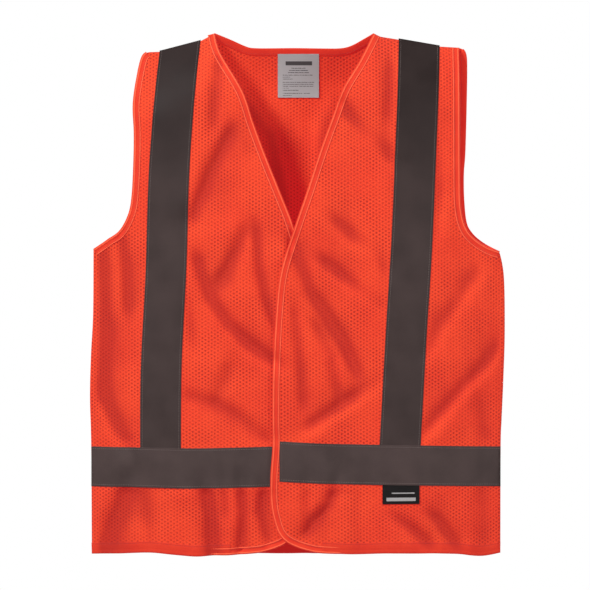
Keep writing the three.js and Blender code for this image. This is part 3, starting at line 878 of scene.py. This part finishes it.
def mesh_knit():
    """Fluorescent knit with staggered columns of small holes."""
    size, colour = sizes(), colours()
    finish = Finish("mesh_knit", 0.82, **FLUORESCENT)
    vector, u, v = finish.weave_map()
    wobble = finish.noise(vector, 60) * 0.0009
    u_bent, v_bent = u + wobble, v - wobble
    across, up = 2 * size.column_pitch, size.row_pitch

    def nearest_hole(shift):
        x = ((u_bent / across + shift).fraction() - 0.5) * across
        y = ((v_bent / up + shift).fraction() - 0.5) * up
        return (x * x + y * y).root()

    distance = nearest_hole(0.0).least(nearest_hole(0.5))
    uneven = finish.noise(vector, 300) * 0.0006 - 0.0003
    radius = size.hole_radius
    hole = 1 - finish.ramp(distance + uneven, 0.55 * radius, 1.35 * radius)
    patchy = finish.ramp(finish.noise(vector, 14, 3), 0.35, 0.68)
    # painted shade in the holes, darker in some places than others
    hole_shade_share = 0.36 + finish.ramp(finish.noise(vector, 24, 3), 0.36, 0.66) * 0.34
    # painted highlights: lighter flecks on the knit's loops
    yarn = finish.ramp(finish.noise(vector, 800, 1), 0.38, 0.66)
    cloth = finish.mix(patchy, colour.cloth, colour.cloth_deep)
    cloth = finish.mix(yarn * 0.34, cloth, colour.yarn)
    # painted shade: the knit darker in the hollows of its folds
    cloth, painted_fold_shade = with_painted_fold_shade(finish, cloth)
    # painted shade: the holes darkened, in place of seeing through them
    finish.set(Base_Color=finish.mix(hole * hole_shade_share, cloth, colour.hole))
    # painted shade: the painted emission dims in the holes and in the hollows of the folds
    emission_dimmed_in_shade = (hole * hole_shade_share * 0.45).most(painted_fold_shade * 0.26)
    finish.painted_glow(finish.mix(emission_dimmed_in_shade, PAINTED_GLOW_COLOUR, DIM_PAINTED_GLOW))
    finish.bump((1 - hole) + knit_height(u, v) * 0.16, 0.0007, 0.75)
    return finish.material


def mesh_knit_plain():
    """The same knit turned up double, where the holes close."""
    finish = Finish("mesh_knit_plain", 0.8, **FLUORESCENT)
    vector, u, v = finish.weave_map()
    patchy = finish.ramp(finish.noise(vector, 30, 3), 0.35, 0.68)
    # painted shade: the turned-up knit darker in the hollows of its folds
    cloth, painted_fold_shade = with_painted_fold_shade(finish, finish.mix(patchy, colours().binding, colours().cloth_deep))
    finish.set(Base_Color=finish.mix(finish.noise(vector, 420, 2) * 0.42, cloth, colours().seam))
    # painted light: the steady emission, dimmed as painted shade in the hollows
    finish.painted_glow(finish.mix(0.08 + painted_fold_shade * 0.24, PAINTED_GLOW_COLOUR, DIM_PAINTED_GLOW))
    finish.bump(knit_height(v, u) * 0.5 + finish.noise(vector, 200) * 0.8, 0.0003, 0.6)
    return finish.material


def ribbed_binding():
    """Plain binding tape with fine ribs along its length."""
    finish = Finish("ribbed_binding", 0.78, **FLUORESCENT)
    vector, u, v = finish.weave_map()
    rib, cross = wave(v, 0.00085), wave(u, 0.0007)
    patchy = finish.ramp(finish.noise(vector, 45, 3), 0.35, 0.68)
    cloth = finish.mix(patchy, colours().binding, colours().cloth_deep)
    cloth = finish.mix((1 - rib) * 0.25, cloth, colours().seam)
    # painted highlight along the tops of the binding's two ridges
    ridges = highest([1 - finish.ramp((v - place).absolute(), 0.0004, 0.0010)
                      for place in lengths(binding_profile())[list(BINDING_RIDGES)]])
    cloth = finish.mix(ridges * 0.55, cloth, colours().ridge)
    # dark line where the binding meets the knit: the joint, with painted shade in its groove
    groove = 1 - finish.ramp(v, 0.0003, 0.0008)
    finish.set(Base_Color=finish.mix(groove * 0.85, cloth, colours().seam))
    # painted light: the binding's steady emission
    finish.painted_glow(PAINTED_GLOW_COLOUR)
    finish.bump(rib * 0.7 + cross * 0.3 + finish.noise(vector, 260) * 0.8, 0.00022, 0.6)
    return finish.material


def thread(name, colour, painted_glow_share):
    finish = Finish(name, 0.6, Sheen_Weight=0.2)
    vector = finish.node("ShaderNodeTexCoord", None, "Object")
    finish.set(Base_Color=finish.mix(finish.noise(vector, 700) * 0.5, colour, shaded(colour, 0.7)))
    if painted_glow_share:
        # painted light: a steady emission on the thread
        finish.painted_glow(PAINTED_GLOW_COLOUR, painted_glow_share)
    return finish.material


def reflective_tape(shade, shoulder_at=None):
    """Grey bead-coated tape: a close fine weave, cloudy with handling, with painted shade over a shoulder.
    """
    finish = Finish("grey_tape", 0.5, Specular_IOR_Level=0.06)
    vector, u, v = finish.weave_map()
    weave = wave(u, 0.00062) * wave(v, 0.00062)
    cloudy = finish.ramp(finish.noise(vector, 22, 4), 0.3, 0.7)
    speck = finish.ramp(finish.noise(vector, 1500, 1), 0.52, 0.72)
    base = shaded(colours().tape, shade)
    grey = finish.mix(cloudy, shaded(base, 0.88), shaded(base, 1.25))
    grey = finish.mix(weave * 0.3 + speck * 0.5, grey, shaded(base, 2.2))
    if shoulder_at is not None:
        # painted shade: the tape darker over the top of the shoulder
        painted_shoulder_shade = 1 - finish.ramp((u - shoulder_at).absolute(), 0.03, 0.26)
        grey = finish.mix(painted_shoulder_shade * 0.6, grey, shaded(base, 0.25))
    finish.set(Base_Color=grey, Roughness=0.5 + cloudy * 0.15)
    finish.bump(weave * 0.6 + finish.noise(vector, 120, 3) * 0.8, 0.00018, 0.5)
    return finish.material


def hook_and_loop():
    """Short dense pile."""
    finish = Finish("short_pile", 0.95, Sheen_Weight=0.05)
    vector, _, _ = finish.weave_map()
    pile = finish.noise(vector, 1400, 3)
    base = colours().binding
    finish.set(Base_Color=finish.mix(pile, shaded(base, 0.6), base))
    # painted light: a steady emission on the pile
    finish.painted_glow(PAINTED_GLOW_COLOUR, 0.6)
    finish.bump(pile, 0.0006)
    return finish.material


def box_mask(finish, u, v, left, right, bottom, top, soft=0.00012):
    """1 inside a rectangle of the map."""
    across = finish.ramp(u, left - soft, left + soft).least(finish.ramp(u, right + soft, right - soft))
    upright = finish.ramp(v, bottom - soft, bottom + soft).least(finish.ramp(v, top + soft, top - soft))
    return across.least(upright)


# Lines of print on the care label, as shares of its width and height: (left, right, foot, height)
LABEL_PRINT = [
    (0.19, 0.83, 0.745, 0.090), (0.33, 0.67, 0.670, 0.018), (0.27, 0.73, 0.620, 0.018),
    (0.25, 0.75, 0.570, 0.018), (0.12, 0.84, 0.515, 0.014), (0.12, 0.30, 0.470, 0.014),
    (0.12, 0.36, 0.425, 0.014), (0.12, 0.88, 0.350, 0.014), (0.12, 0.86, 0.305, 0.014),
    (0.12, 0.88, 0.260, 0.014), (0.12, 0.26, 0.215, 0.014), (0.12, 0.50, 0.165, 0.016),
    (0.12, 0.78, 0.095, 0.014), (0.12, 0.34, 0.045, 0.014),
]


def label_satin():
    """Care label: pale satin with plain bars where print would be."""
    finish = Finish("label_satin", 0.5, Sheen_Weight=0.15)
    vector, u, v = finish.weave_map()
    width = high("care_label").x - low("care_label").x
    height = high("care_label").z - low("care_label").z
    left, foot = -width / 2, -height
    words = finish.ramp(finish.noise(vector, 900, 1), 0.34, 0.52)
    bars = []
    for start, end, base, tall in LABEL_PRINT:
        bar = box_mask(finish, u, v, left + start * width, left + end * width,
                       foot + base * height, foot + (base + tall) * height)
        bars.append(bar if tall > 0.05 else bar * words)
    satin = (v * (2 * math.pi / 0.0005) + u * 3000).sine() * 0.5 + 0.5
    cloth = finish.mix(satin * 0.12, colours().label, shaded(colours().label, 0.8))
    finish.set(Base_Color=finish.mix(highest(bars), cloth, colours().ink))
    finish.bump(satin + finish.noise(vector, 90) * 2, 0.0001, 0.5)
    return finish.material


def woven_tab():
    """Black damask tab with a plain bar and line in lighter yarn."""
    finish = Finish("black_damask", 0.8, Specular_IOR_Level=0.08)
    _, u, v = finish.weave_map()
    height = high("maker_tab").z - low("maker_tab").z
    bar = box_mask(finish, u, v, -0.0185, 0.0185, -0.84 * height, -0.66 * height)
    line = box_mask(finish, u, v, -0.0120, 0.0170, -0.46 * height, -0.40 * height)
    rib, yarn = wave(v, 0.00045), wave(u, 0.0006)
    mark = bar.most(line) * (0.55 + yarn * 0.45)
    ground = finish.mix(rib * yarn, colours().tab, (0.02, 0.018, 0.018))
    finish.set(Base_Color=finish.mix(mark, ground, colours().tab_mark))
    finish.bump(rib + yarn * 0.4, 0.00012, 0.7)
    return finish.material


FINISHES = {}


def shared(maker, *arguments):
    """A material that several pieces share, made once."""
    key = (maker.__name__, *arguments)
    if key not in FINISHES:
        FINISHES[key] = maker(*arguments)
    return FINISHES[key]


def seam_thread():
    return shared(thread, "seam_thread", tuple(colours().seam), 0.5)


def tape_thread():
    return shared(thread, "tape_thread", tuple(colours().tape_thread), 0.0)


# ---------------------------------------------------------------- pieces
LEFT_BEND, RIGHT_BEND = 0.007, 0.012  # half a stretch about each front's fold line; the blends work out its ends but bend nothing
SEWN_STRIP = 0.003  # of a label, above its hinge line


def blend_left(piece):
    start, end = (FOLD_X + LEFT_BEND, FOLD_Y, 0), (FOLD_X - LEFT_BEND, FOLD_Y, 0)
    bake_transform(piece)
    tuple(start)
    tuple(end)


def blend_right(piece):
    start, end = (-FOLD_X - RIGHT_BEND, FOLD_Y, 0), (RIGHT_BEND - FOLD_X, FOLD_Y, 0)
    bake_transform(piece)
    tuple(start)
    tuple(end)


def blend_below_seam(piece):
    """Bakes the piece's placement into its mesh."""
    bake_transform(piece)


EDGE_STEP = 0.0027
TUCK = 0.038  # the front bindings thin down into the hem facing over this length
CLOTH_INSET = 0.0009  # a bound panel's edge lies this far inside its binding's fold


def trimmed(line, left):
    """Edge of the cloth inside its binding."""
    return line + inward(line, left) * CLOTH_INSET


def left_front_lines():
    return [
        trimmed(rounded(LEFT_FRONT_EDGE), True), rounded(LEFT_FRONT_HEM) + (0, 0.001),
        rounded(LEFT_SIDE[::-1]), trimmed(rounded(LEFT_FRONT_ARMHOLE), True),
        shoulder_line(LEFT_FRONT_ARMHOLE[-1][0], LEFT_FRONT_EDGE[0][0]),
    ]


def right_front_lines():
    return [
        rounded(RIGHT_SIDE), rounded(RIGHT_FRONT_HEM) + (0, 0.001),
        trimmed(rounded(RIGHT_FRONT_EDGE)[::-1], True),
        shoulder_line(RIGHT_FRONT_EDGE[0][0], RIGHT_FRONT_ARMHOLE[-1][0]),
        trimmed(rounded(RIGHT_FRONT_ARMHOLE)[::-1], True),
    ]


def back_lines():
    return [
        rounded(BACK_HEM) + (0, 0.001), rounded(LEFT_SIDE[::-1]),
        trimmed(rounded(LEFT_BACK_ARMHOLE), True),
        shoulder_line(LEFT_BACK_ARMHOLE[-1][0], BACK_NECK[0][0]),
        trimmed(rounded(BACK_NECK), True),
        shoulder_line(BACK_NECK[-1][0], RIGHT_BACK_ARMHOLE[-1][0]),
        trimmed(rounded(RIGHT_BACK_ARMHOLE)[::-1], True), rounded(RIGHT_SIDE),
    ]


def flat_area(lines):
    ring = outline(lines, EDGE_STEP)
    u, z = cloth_u(ring[:, 0]), ring[:, 1]
    return abs(np.dot(u, np.roll(z, -1)) - np.dot(z, np.roll(u, -1))) / 2, np.ptp(u), np.ptp(z)


def declare_sheet(lines):
    area, width, length = flat_area(lines)


BINDING_RIDGES = (2, 8)  # which points of the section are the tops of its ridges


def binding_profile():
    """Section of the folded binding: two raised ridges outside, plain inside, round the cloth's edge."""
    w = sizes().binding_width
    outside = [
        (w, 0.00120), (w - 0.0003, 0.0019), (w - 0.0009, 0.00245), (w - 0.0016, 0.00200),
        (w - 0.0023, 0.00140), (0.0042, 0.00138), (0.0027, 0.00165), (0.0019, 0.00215),
        (0.0011, 0.00255), (0.0002, 0.00225), (-0.0006, 0.00160), (-0.0009, 0.00060),
        (-0.0007, -0.00030), (0.0000, -0.00080), (0.0020, -0.00085), (w - 0.001, -0.00075),
        (w, -0.00030), (w, 0.00000),
    ]
    cavity = [(0.0006, 0.00000), (0.0004, 0.00060), (0.0006, 0.00120)]
    return np.array(outside + cavity)


def hem_profile():
    """Section of the hem facing, turned up over the cloth's lower edge on both faces."""
    w = sizes().hem_width
    outside = [
        (w, 0.00125), (w - 0.0003, 0.00170), (w - 0.0012, 0.00172), (w - 0.0018, 0.00145),
        (w - 0.0028, 0.00185), (w - 0.0044, 0.00195), (w - 0.0062, 0.00195), (0.0054, 0.00195),
        (0.0044, 0.00170), (0.0034, 0.00195), (0.0008, 0.00190), (-0.0002, 0.00150),
        (-0.0005, 0.00060), (-0.0002, -0.00030), (0.0008, -0.00060), (0.0050, -0.00065),
        (0.0090, -0.00065), (w - 0.001, -0.00055), (w, -0.00020), (w, 0.00000),
    ]
    cavity = [(0.0090, 0.0), (0.0050, 0.0), (0.0006, 0.0), (0.0004, 0.0006), (0.0006, 0.0012),
              (0.0050, 0.0012), (0.0090, 0.0012)]
    return np.array(outside + cavity)


def stitch_line(build, line, normals, inset, offset, side, lift=no_lift):
    spots = line + normals * inset
    stitches(build, surface(side, spots[:, 0], spots[:, 1], offset, lift))


def edge_binding(name, lines, materials, tuck=0.0):
    """Binding along edges, each (points, side, lift, cloth to the left)."""
    build = Build()
    for points, side, lift, left in lines:
        line = evenly(rounded(points), EDGE_STEP)
        normals = inward(line, left)
        swept(build, line, normals, binding_profile(), side, lift, tuck)
        stitch_line(build, line, normals, sizes().binding_width - 0.0021, 0.00175, side, lift)
        stitch_line(build, line, normals, 0.0062, -0.00080, side, lift)
    return build.make(name, materials)


def hem_facing(name, points, side, lift):
    build = Build()
    line = evenly(rounded(points), EDGE_STEP)
    normals = inward(line, True)
    swept(build, line, normals, hem_profile(), side, lift)
    stitch_line(build, line, normals, sizes().hem_width - 0.0018, 0.00145, side, lift)
    made = build.make(name, [shared(mesh_knit_plain), seam_thread()])
    # painted shade in the hollows of the hem's folds
    mark_painted_fold_shade(made, side)
    return made


# The cloth turned in at a side seam: how far in it starts and ends, and half its thickness
SEAM_FROM, SEAM_TO, SEAM_HALF = 0.005, 0.012, 0.0003


def side_seam(name, side_line):
    """Cloth edges of one side seam, turned in and sewn together between front and back."""
    zs = np.linspace(side_line[0][1] - 0.004, side_line[-1][1] + 0.002, 90)
    edge = along_z(rounded(side_line), zs)
    inwards = -np.sign(edge[0])
    rows = []
    for x, z in zip(edge, zs):
        start, end = x + inwards * SEAM_FROM, x + inwards * SEAM_TO
        corners = ((start, -1), (start, 1), (end, 1), (end, -1))
        rows.append([(across, side * SEAM_HALF, z) for across, side in corners])
    build = Build()
    girth = np.cumsum([0, 2 * SEAM_HALF, SEAM_TO - SEAM_FROM, 2 * SEAM_HALF, SEAM_TO - SEAM_FROM])
    grid_skin(build, rows, zs[0] - zs, girth, rims=(0, 1, 2, 3))
    made = build.make(name, [shared(mesh_knit_plain)])
    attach(made, "vest_body")


# ---------------------------------------------------------------- steps
class PieceOperator:
    """What the vest's operators share."""

    bl_options = {"REGISTER", "UNDO"}


class VEST_OT_fronts(PieceOperator, bpy.types.Operator):
    """Makes the two mesh fronts, each in one piece across its fold line"""

    bl_idname = "vest.fronts"
    bl_label = "Fronts"

    def execute(self, context):
        material = [shared(mesh_knit)]
        left = panel("left_front", left_front_lines(), FRONT, overlap_lift, material)
        blend_left(left)
        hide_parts("left_front_side_panel", "left_front_flap_panel")
        right = panel("right_front", right_front_lines(), FRONT, no_lift, material)
        blend_right(right)
        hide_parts("right_front_side_panel", "right_front_flap_panel")
        side_seam("left_side_seam", LEFT_SIDE)
        side_seam("right_side_seam", RIGHT_SIDE)
        return {"FINISHED"}


class VEST_OT_back(PieceOperator, bpy.types.Operator):
    """Makes the mesh back"""

    bl_idname = "vest.back"
    bl_label = "Back"

    def execute(self, context):
        back = panel("back", back_lines(), BACK, no_lift, [shared(mesh_knit)])
        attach(back, "vest_body")
        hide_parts("back_panel")
        return {"FINISHED"}


class VEST_OT_bindings(PieceOperator, bpy.types.Operator):
    """Makes the bindings of the front edges, the back neck and the armholes"""

    bl_idname = "vest.bindings"
    bl_label = "Bindings"

    def execute(self, context):
        materials = [shared(ribbed_binding), seam_thread()]
        left_edge = [*LEFT_FRONT_EDGE, *LEFT_FRONT_HEM[1:2]]
        right_edge = [*RIGHT_FRONT_EDGE, *RIGHT_FRONT_HEM[-2:-1]]
        left = edge_binding("left_edge_binding", [(left_edge, FRONT, overlap_lift, True)], materials, TUCK)
        blend_left(left)
        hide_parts("left_front_edge_binding")
        right = edge_binding("right_edge_binding", [(right_edge, FRONT, no_lift, False)], materials, TUCK)
        blend_right(right)
        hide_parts("right_front_edge_binding")
        neck = edge_binding("neck_binding", [(BACK_NECK, BACK, no_lift, True)], materials)
        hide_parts("back_neck_binding")
        armholes = {
            "left": (LEFT_FRONT_ARMHOLE, LEFT_BACK_ARMHOLE),
            "right": (RIGHT_FRONT_ARMHOLE, RIGHT_BACK_ARMHOLE),
        }
        fixed = [neck]
        for hand, (front, back) in armholes.items():
            lines = [(front, FRONT, no_lift, hand == "left"), (back, BACK, no_lift, hand == "left")]
            armhole = edge_binding(f"{hand}_arm_binding", lines, materials)
            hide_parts(f"{hand}_armhole_binding")
            fixed.append(armhole)
        for piece in fixed:
            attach(piece, "vest_body")
        return {"FINISHED"}


class VEST_OT_hems(PieceOperator, bpy.types.Operator):
    """Makes the stitched hem facings"""

    bl_idname = "vest.hems"
    bl_label = "Hems"

    def execute(self, context):
        left = hem_facing("left_front_hem", LEFT_FRONT_HEM, FRONT, overlap_lift)
        blend_left(left)
        right = hem_facing("right_front_hem", RIGHT_FRONT_HEM, FRONT, no_lift)
        blend_right(right)
        back = hem_facing("back_hem", BACK_HEM, BACK, no_lift)
        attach(back, "vest_body")
        for piece in (left, right, back):
            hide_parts("hem_binding")
        return {"FINISHED"}


TAPE_SHARES = np.array([-0.5, -0.492, -0.448, *np.linspace(-0.36, 0.36, 9), 0.448, 0.492, 0.5])
TAPE_STITCHED = (2, len(TAPE_SHARES) - 3)  # rows of stitches run along these columns
TAPE_ROW = 0.0045
# painted light: the same tape in two brightnesses, lighter round the waist than over the shoulders, as a
# lit and a shaded copy
SHOULDER_SHADE, WAIST_SHADE = 1.06, 1.45
SHOULDER_AT = 0.56  # how far along a shoulder tape its shoulder lies


def sewn_tape(name, rows, material):
    """Tape over rows of points, with a row of stitches along each edge."""
    build = Build()
    outer = np.array(band(build, rows, (TAPE_NEAR, TAPE_FAR)))
    for column in TAPE_STITCHED:
        stitches(build, outer[:, column])
    tape = build.make(name, [material, tape_thread()])
    return tape


def shoulder_tape_middle(side, hand, z):
    """x of the middle of a shoulder tape at height z."""
    line = rounded(SHOULDER_TAPES[hand])
    if side == FRONT:
        return along_z(line, z)
    return np.interp(z, [TAPE_BOTTOM, 0], [BACK_TAPE_FOOT[hand], line[0][0]])


def waist_step(side, x, z):
    """Rise of the waist tape where it lies on a shoulder tape."""
    middle = np.where(x > 0, shoulder_tape_middle(side, "left", z), shoulder_tape_middle(side, "right", z))
    beside = np.abs(x - middle) - SHOULDER_TAPE_WIDTH / 2
    return STEP_RISE * smooth(1 - beside / STEP_RUN)


def shoulder_tape(hand):
    """One length of tape, up the front, over the shoulder and down the back."""
    across = TAPE_SHARES * SHOULDER_TAPE_WIDTH
    foot = TAPE_BOTTOM + 0.003
    top_x = SHOULDER_TAPES[hand][0][0]
    count = round(-foot / TAPE_ROW)
    shares = np.linspace(1, 0.004, count)

    def run(side, offset):
        rows = []
        for share in shares:
            guess = ridge(top_x) + (foot - ridge(top_x)) * share
            x = shoulder_tape_middle(side, hand, guess) + across
            z = ridge(x) + (foot - ridge(x)) * share
            rows.append(surface(side, x, z, offset))
        return rows

    def rows(offset):
        front, back = run(FRONT, offset), run(BACK, offset)
        x = top_x + across
        cap = [np.stack([x, np.full(x.shape, y), ridge(x) + offset * lift], -1)
               for y, lift in ((-0.6 * offset, 0.75), (0.0, 1.0), (0.6 * offset, 0.75))]
        return [*front, *cap, *back[::-1]]

    grey = shared(reflective_tape, SHOULDER_SHADE, SHOULDER_AT)
    tape = sewn_tape(f"{hand}_shoulder_strip", rows, grey)
    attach(tape, "vest_body")
    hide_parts(f"{hand}_shoulder_tape")
    return tape


def waist_tape(name, line, side, lift):
    """Level tape along a line of points (x, z)."""
    line = rounded(line)
    xs = np.linspace(line[0][0], line[-1][0], round(abs(line[-1][0] - line[0][0]) / TAPE_ROW))
    up = TAPE_SHARES * WAIST_TAPE_WIDTH

    def rows(offset):
        middles = along_x([tuple(p) for p in line], xs)
        made = []
        for x, middle in zip(xs, middles):
            x, z = np.full(up.shape, x), middle + up
            made.append(surface(side, x, z, offset + waist_step(side, x, z), lift))
        return made

    return sewn_tape(name, rows, shared(reflective_tape, WAIST_SHADE))


class VEST_OT_tapes(PieceOperator, bpy.types.Operator):
    """Makes the reflective tapes over the shoulders and round the waist"""

    bl_idname = "vest.tapes"
    bl_label = "Reflective tapes"

    def execute(self, context):
        for hand in SHOULDER_TAPES:
            shoulder_tape(hand)
        left = waist_tape("left_front_waist_strip", WAIST_LINES["left"], FRONT, overlap_lift)
        blend_left(left)
        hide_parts("left_side_waist_tape", "left_flap_waist_tape")
        right = waist_tape("right_front_waist_strip", WAIST_LINES["right"], FRONT, no_lift)
        blend_right(right)
        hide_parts("right_side_waist_tape", "right_flap_waist_tape")
        middle = (TAPE_TOP + TAPE_BOTTOM) / 2
        ends = [(RIGHT_SIDE[-2][0], middle), (0.0, middle), (LEFT_SIDE[-2][0], middle)]
        back = waist_tape("back_waist_strip", ends, BACK, no_lift)
        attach(back, "vest_body")
        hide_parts("back_waist_tape")
        return {"FINISHED"}


def closure_half(name, node, near, far):
    """Strip of pile in the place of a CAD node, following the cloth."""
    (x0, _, z0), (x1, _, z1) = low(node), high(node)
    xs, zs = np.linspace(x0, x1, 9), np.linspace(z0, z1, 40)

    def lines(offset):
        return [surface(FRONT, xs, np.full(xs.shape, z), offset, no_lift) for z in zs]

    build = Build()
    band(build, lines, (near, far))
    made = build.make(name, [shared(hook_and_loop)])
    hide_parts(node)
    return made


class VEST_OT_closure(PieceOperator, bpy.types.Operator):
    """Makes the hook-and-loop halves between the two fronts"""

    bl_idname = "vest.closure"
    bl_label = "Closure"

    def execute(self, context):
        gap = 0.0002
        strip = (OVERLAP_LIFT - CLOTH_FAR - 2 * gap) / 2
        middle = CLOTH_FAR + gap + strip
        on_tape = TAPE_FAR + gap
        halfway = (on_tape + OVERLAP_LIFT) / 2
        parts = [
            ("upper_hook", "upper_hook_strip", middle, OVERLAP_LIFT, "left_front"),
            ("upper_loop", "upper_loop_strip", CLOTH_FAR + gap, middle - gap, "right_front"),
            ("lower_hook", "lower_hook_patch", halfway, OVERLAP_LIFT, "left_front"),
            ("lower_loop", "lower_loop_patch", on_tape, halfway - gap, "right_front"),
        ]
        for name, node, near, far, body in parts:
            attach(closure_half(name, node, near, far), body)
        return {"FINISHED"}


class VEST_OT_labels(PieceOperator, bpy.types.Operator):
    """Makes the care label and the woven tab"""

    bl_idname = "vest.labels"
    bl_label = "Labels"

    def execute(self, context):
        label = hanging_patch("care_label_sheet", "care_label", BACK, -0.0012, 0.0003, shared(label_satin))
        blend_below_seam(label)
        tab = hanging_patch("maker_tab_sheet", "maker_tab", FRONT, 0.0015, 0.0006, shared(woven_tab))
        blend_below_seam(tab)
        return {"FINISHED"}


def edge_shares(count):
    """Even shares from 0 to 1, with one more close to each end to keep the edge crisp."""
    inner = np.linspace(0, 1, count - 2)
    return np.concatenate([[0, 0.006], inner[1:-1], [0.994, 1]])


def hanging_patch(name, node, side, offset, thickness, material):
    """Small sewn-on patch, held along its top edge and a little curled below."""
    (x0, _, z0), (x1, _, z1) = low(node), high(node)
    width, height = x1 - x0, z1 - z0
    z1 += SEWN_STRIP
    columns, rows = 17, 19
    build = Build()
    shares = edge_shares(columns)
    skins = []
    for down in edge_shares(rows):
        xs = x0 + width * shares
        zs = np.full(xs.shape, z1 - height * down)
        curl = 0.0006 * down**2 * np.abs(2 * shares - 1) ** 2 * (1 if side == FRONT else -1)
        outer = surface(side, xs, zs, offset + (thickness if side == FRONT else 0) + curl)
        inner = surface(side, xs, zs, offset + (0 if side == FRONT else thickness) + curl)
        skins.append((outer, inner))
    loops = [np.concatenate([o, i[::-1]]) for o, i in skins]
    us = height * edge_shares(rows)
    vs = np.concatenate([shares * width, width + thickness + shares * width, [2 * (width + thickness)]])
    grid_skin(build, loops, us, vs, rims=(columns - 1, 2 * columns - 1))
    turned = np.array(build.maps)
    across = turned[:, 1]
    folded = np.where(across <= width, across, 2 * width + thickness - across)
    build.maps = list(np.stack([folded - width / 2, -turned[:, 0]], -1))
    made = build.make(name, [material])
    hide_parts(node)
    return made


class VEST_OT_stage(PieceOperator, bpy.types.Operator):
    """Makes the pale floor, the backdrop, the lights and the camera"""

    bl_idname = "vest.stage"
    bl_label = "Stage"

    def execute(self, context):
        floor_and_backdrop()
        soft_lights()
        square_camera()
        context.scene.view_settings.view_transform = "Standard"
        return {"FINISHED"}


# ---------------------------------------------------------------- the stage
STAGE_RADIUS = 9.0
FLOOR_RADIUS = 4.6
FLOOR_Z = -1.35


def floor_and_backdrop():
    bpy.ops.object.select_all(action="DESELECT")
    bpy.ops.mesh.primitive_circle_add(
        vertices=96, radius=FLOOR_RADIUS, fill_type="NGON", location=(0, 0, FLOOR_Z)
    )
    floor = bpy.context.object
    floor.name = "floor"
    pale = Finish("pale_floor", 0.9, Base_Color=(0.86, 0.86, 0.86, 1), Emission_Color=(1, 1, 1, 1),
                  Emission_Strength=0.3)
    floor.data.materials.append(pale.material)
    bpy.ops.object.select_all(action="DESELECT")
    bpy.ops.mesh.primitive_uv_sphere_add(
        segments=64, ring_count=32, radius=STAGE_RADIUS, location=(0, 0, 0)
    )
    backdrop = bpy.context.object
    backdrop.name = "backdrop"
    white = Finish("white_backdrop", 1.0, Base_Color=(0, 0, 0, 1), Emission_Color=(1, 1, 1, 1),
                   Emission_Strength=1.0, Specular_IOR_Level=0)
    backdrop.data.materials.append(white.material)
    for ground in (floor, backdrop):
        ground.visible_diffuse = False
    backdrop.visible_glossy = False
    backdrop.visible_shadow = False


def area_light(name, place, target, size, energy):
    bpy.ops.object.select_all(action="DESELECT")
    bpy.ops.object.light_add(type="AREA", location=place)
    light = bpy.context.object
    light.name = name
    light.data.size = size
    light.data.energy = energy
    light.rotation_euler = (Vector(target) - Vector(place)).to_track_quat("-Z", "Y").to_euler()


def soft_lights():
    middle = (0, 0, -0.33)
    area_light("key_light", (-2.2, -2.4, 1.9), middle, 0.7, 243)
    area_light("fill_light", (1.05, -0.9, -0.2), (0.26, 0, -0.35), 0.7, 12)
    area_light("back_light", (1.6, 2.8, 1.2), middle, 2.0, 70)
    world = bpy.data.worlds.new("soft_room")
    world.use_nodes = True
    background = world.node_tree.nodes["Background"]
    background.inputs["Color"].default_value = (1, 1, 1, 1)
    background.inputs["Strength"].default_value = 0.17
    bpy.context.scene.world = world


CAMERA_DISTANCE = 4.0
VIEW_WIDTH = 0.7475  # width of what the camera sees, at the front of the vest
VIEW_MIDDLE = (0.0006, -0.3335)


def square_camera():
    data = bpy.data.cameras.new("camera")
    camera = bpy.data.objects.new("camera", data)
    bpy.context.scene.collection.objects.link(camera)
    camera.location = (VIEW_MIDDLE[0], -CAMERA_DISTANCE, VIEW_MIDDLE[1])
    camera.rotation_euler = (math.pi / 2, 0, 0)
    front = -BODY_DEPTH[FRONT] * 0.6
    data.sensor_width = 36
    data.lens = data.sensor_width * (CAMERA_DISTANCE + front) / VIEW_WIDTH
    data.clip_start, data.clip_end = 0.05, 40
    bpy.context.scene.camera = camera


class VEST_PT_sidebar(bpy.types.Panel):
    """Lists the steps that make the vest"""

    bl_idname = "VEST_PT_sidebar"
    bl_label = "High visibility vest"
    bl_space_type = "VIEW_3D"
    bl_region_type = "UI"
    bl_category = "Vest"

    def draw(self, context):
        for group in (context.scene.vest_sizes, context.scene.vest_colours):
            for name in group.__annotations__:
                self.layout.prop(group, name)
        for step in STEPS:
            self.layout.operator(step.bl_idname)


STEPS = (
    VEST_OT_back, VEST_OT_fronts, VEST_OT_hems, VEST_OT_tapes, VEST_OT_bindings, VEST_OT_closure,
    VEST_OT_labels, VEST_OT_stage,
)
CLASSES = (VestSizes, VestColours, *STEPS, VEST_PT_sidebar)


def register():
    for made in CLASSES:
        bpy.utils.register_class(made)
    bpy.types.Scene.vest_sizes = bpy.props.PointerProperty(type=VestSizes)
    bpy.types.Scene.vest_colours = bpy.props.PointerProperty(type=VestColours)


def unregister():
    del bpy.types.Scene.vest_colours
    del bpy.types.Scene.vest_sizes
    for made in reversed(CLASSES):
        bpy.utils.unregister_class(made)


def declare_soft_goods():
    """Works out each cloth panel's flat area and each label's size, and keeps neither."""
    declare_sheet(left_front_lines())
    declare_sheet(right_front_lines())
    declare_sheet(back_lines())
    for name, node in (("care_label_sheet", "care_label"), ("maker_tab_sheet", "maker_tab")):
        size = high(node) - low(node)


def main():
    register()
    bpy.ops.vest.back()
    bpy.ops.vest.fronts()
    bpy.ops.vest.hems()
    bpy.ops.vest.tapes()
    bpy.ops.vest.bindings()
    bpy.ops.vest.closure()
    bpy.ops.vest.labels()
    bpy.ops.vest.stage()
    declare_soft_goods()


if __name__ == "__main__":
    main()
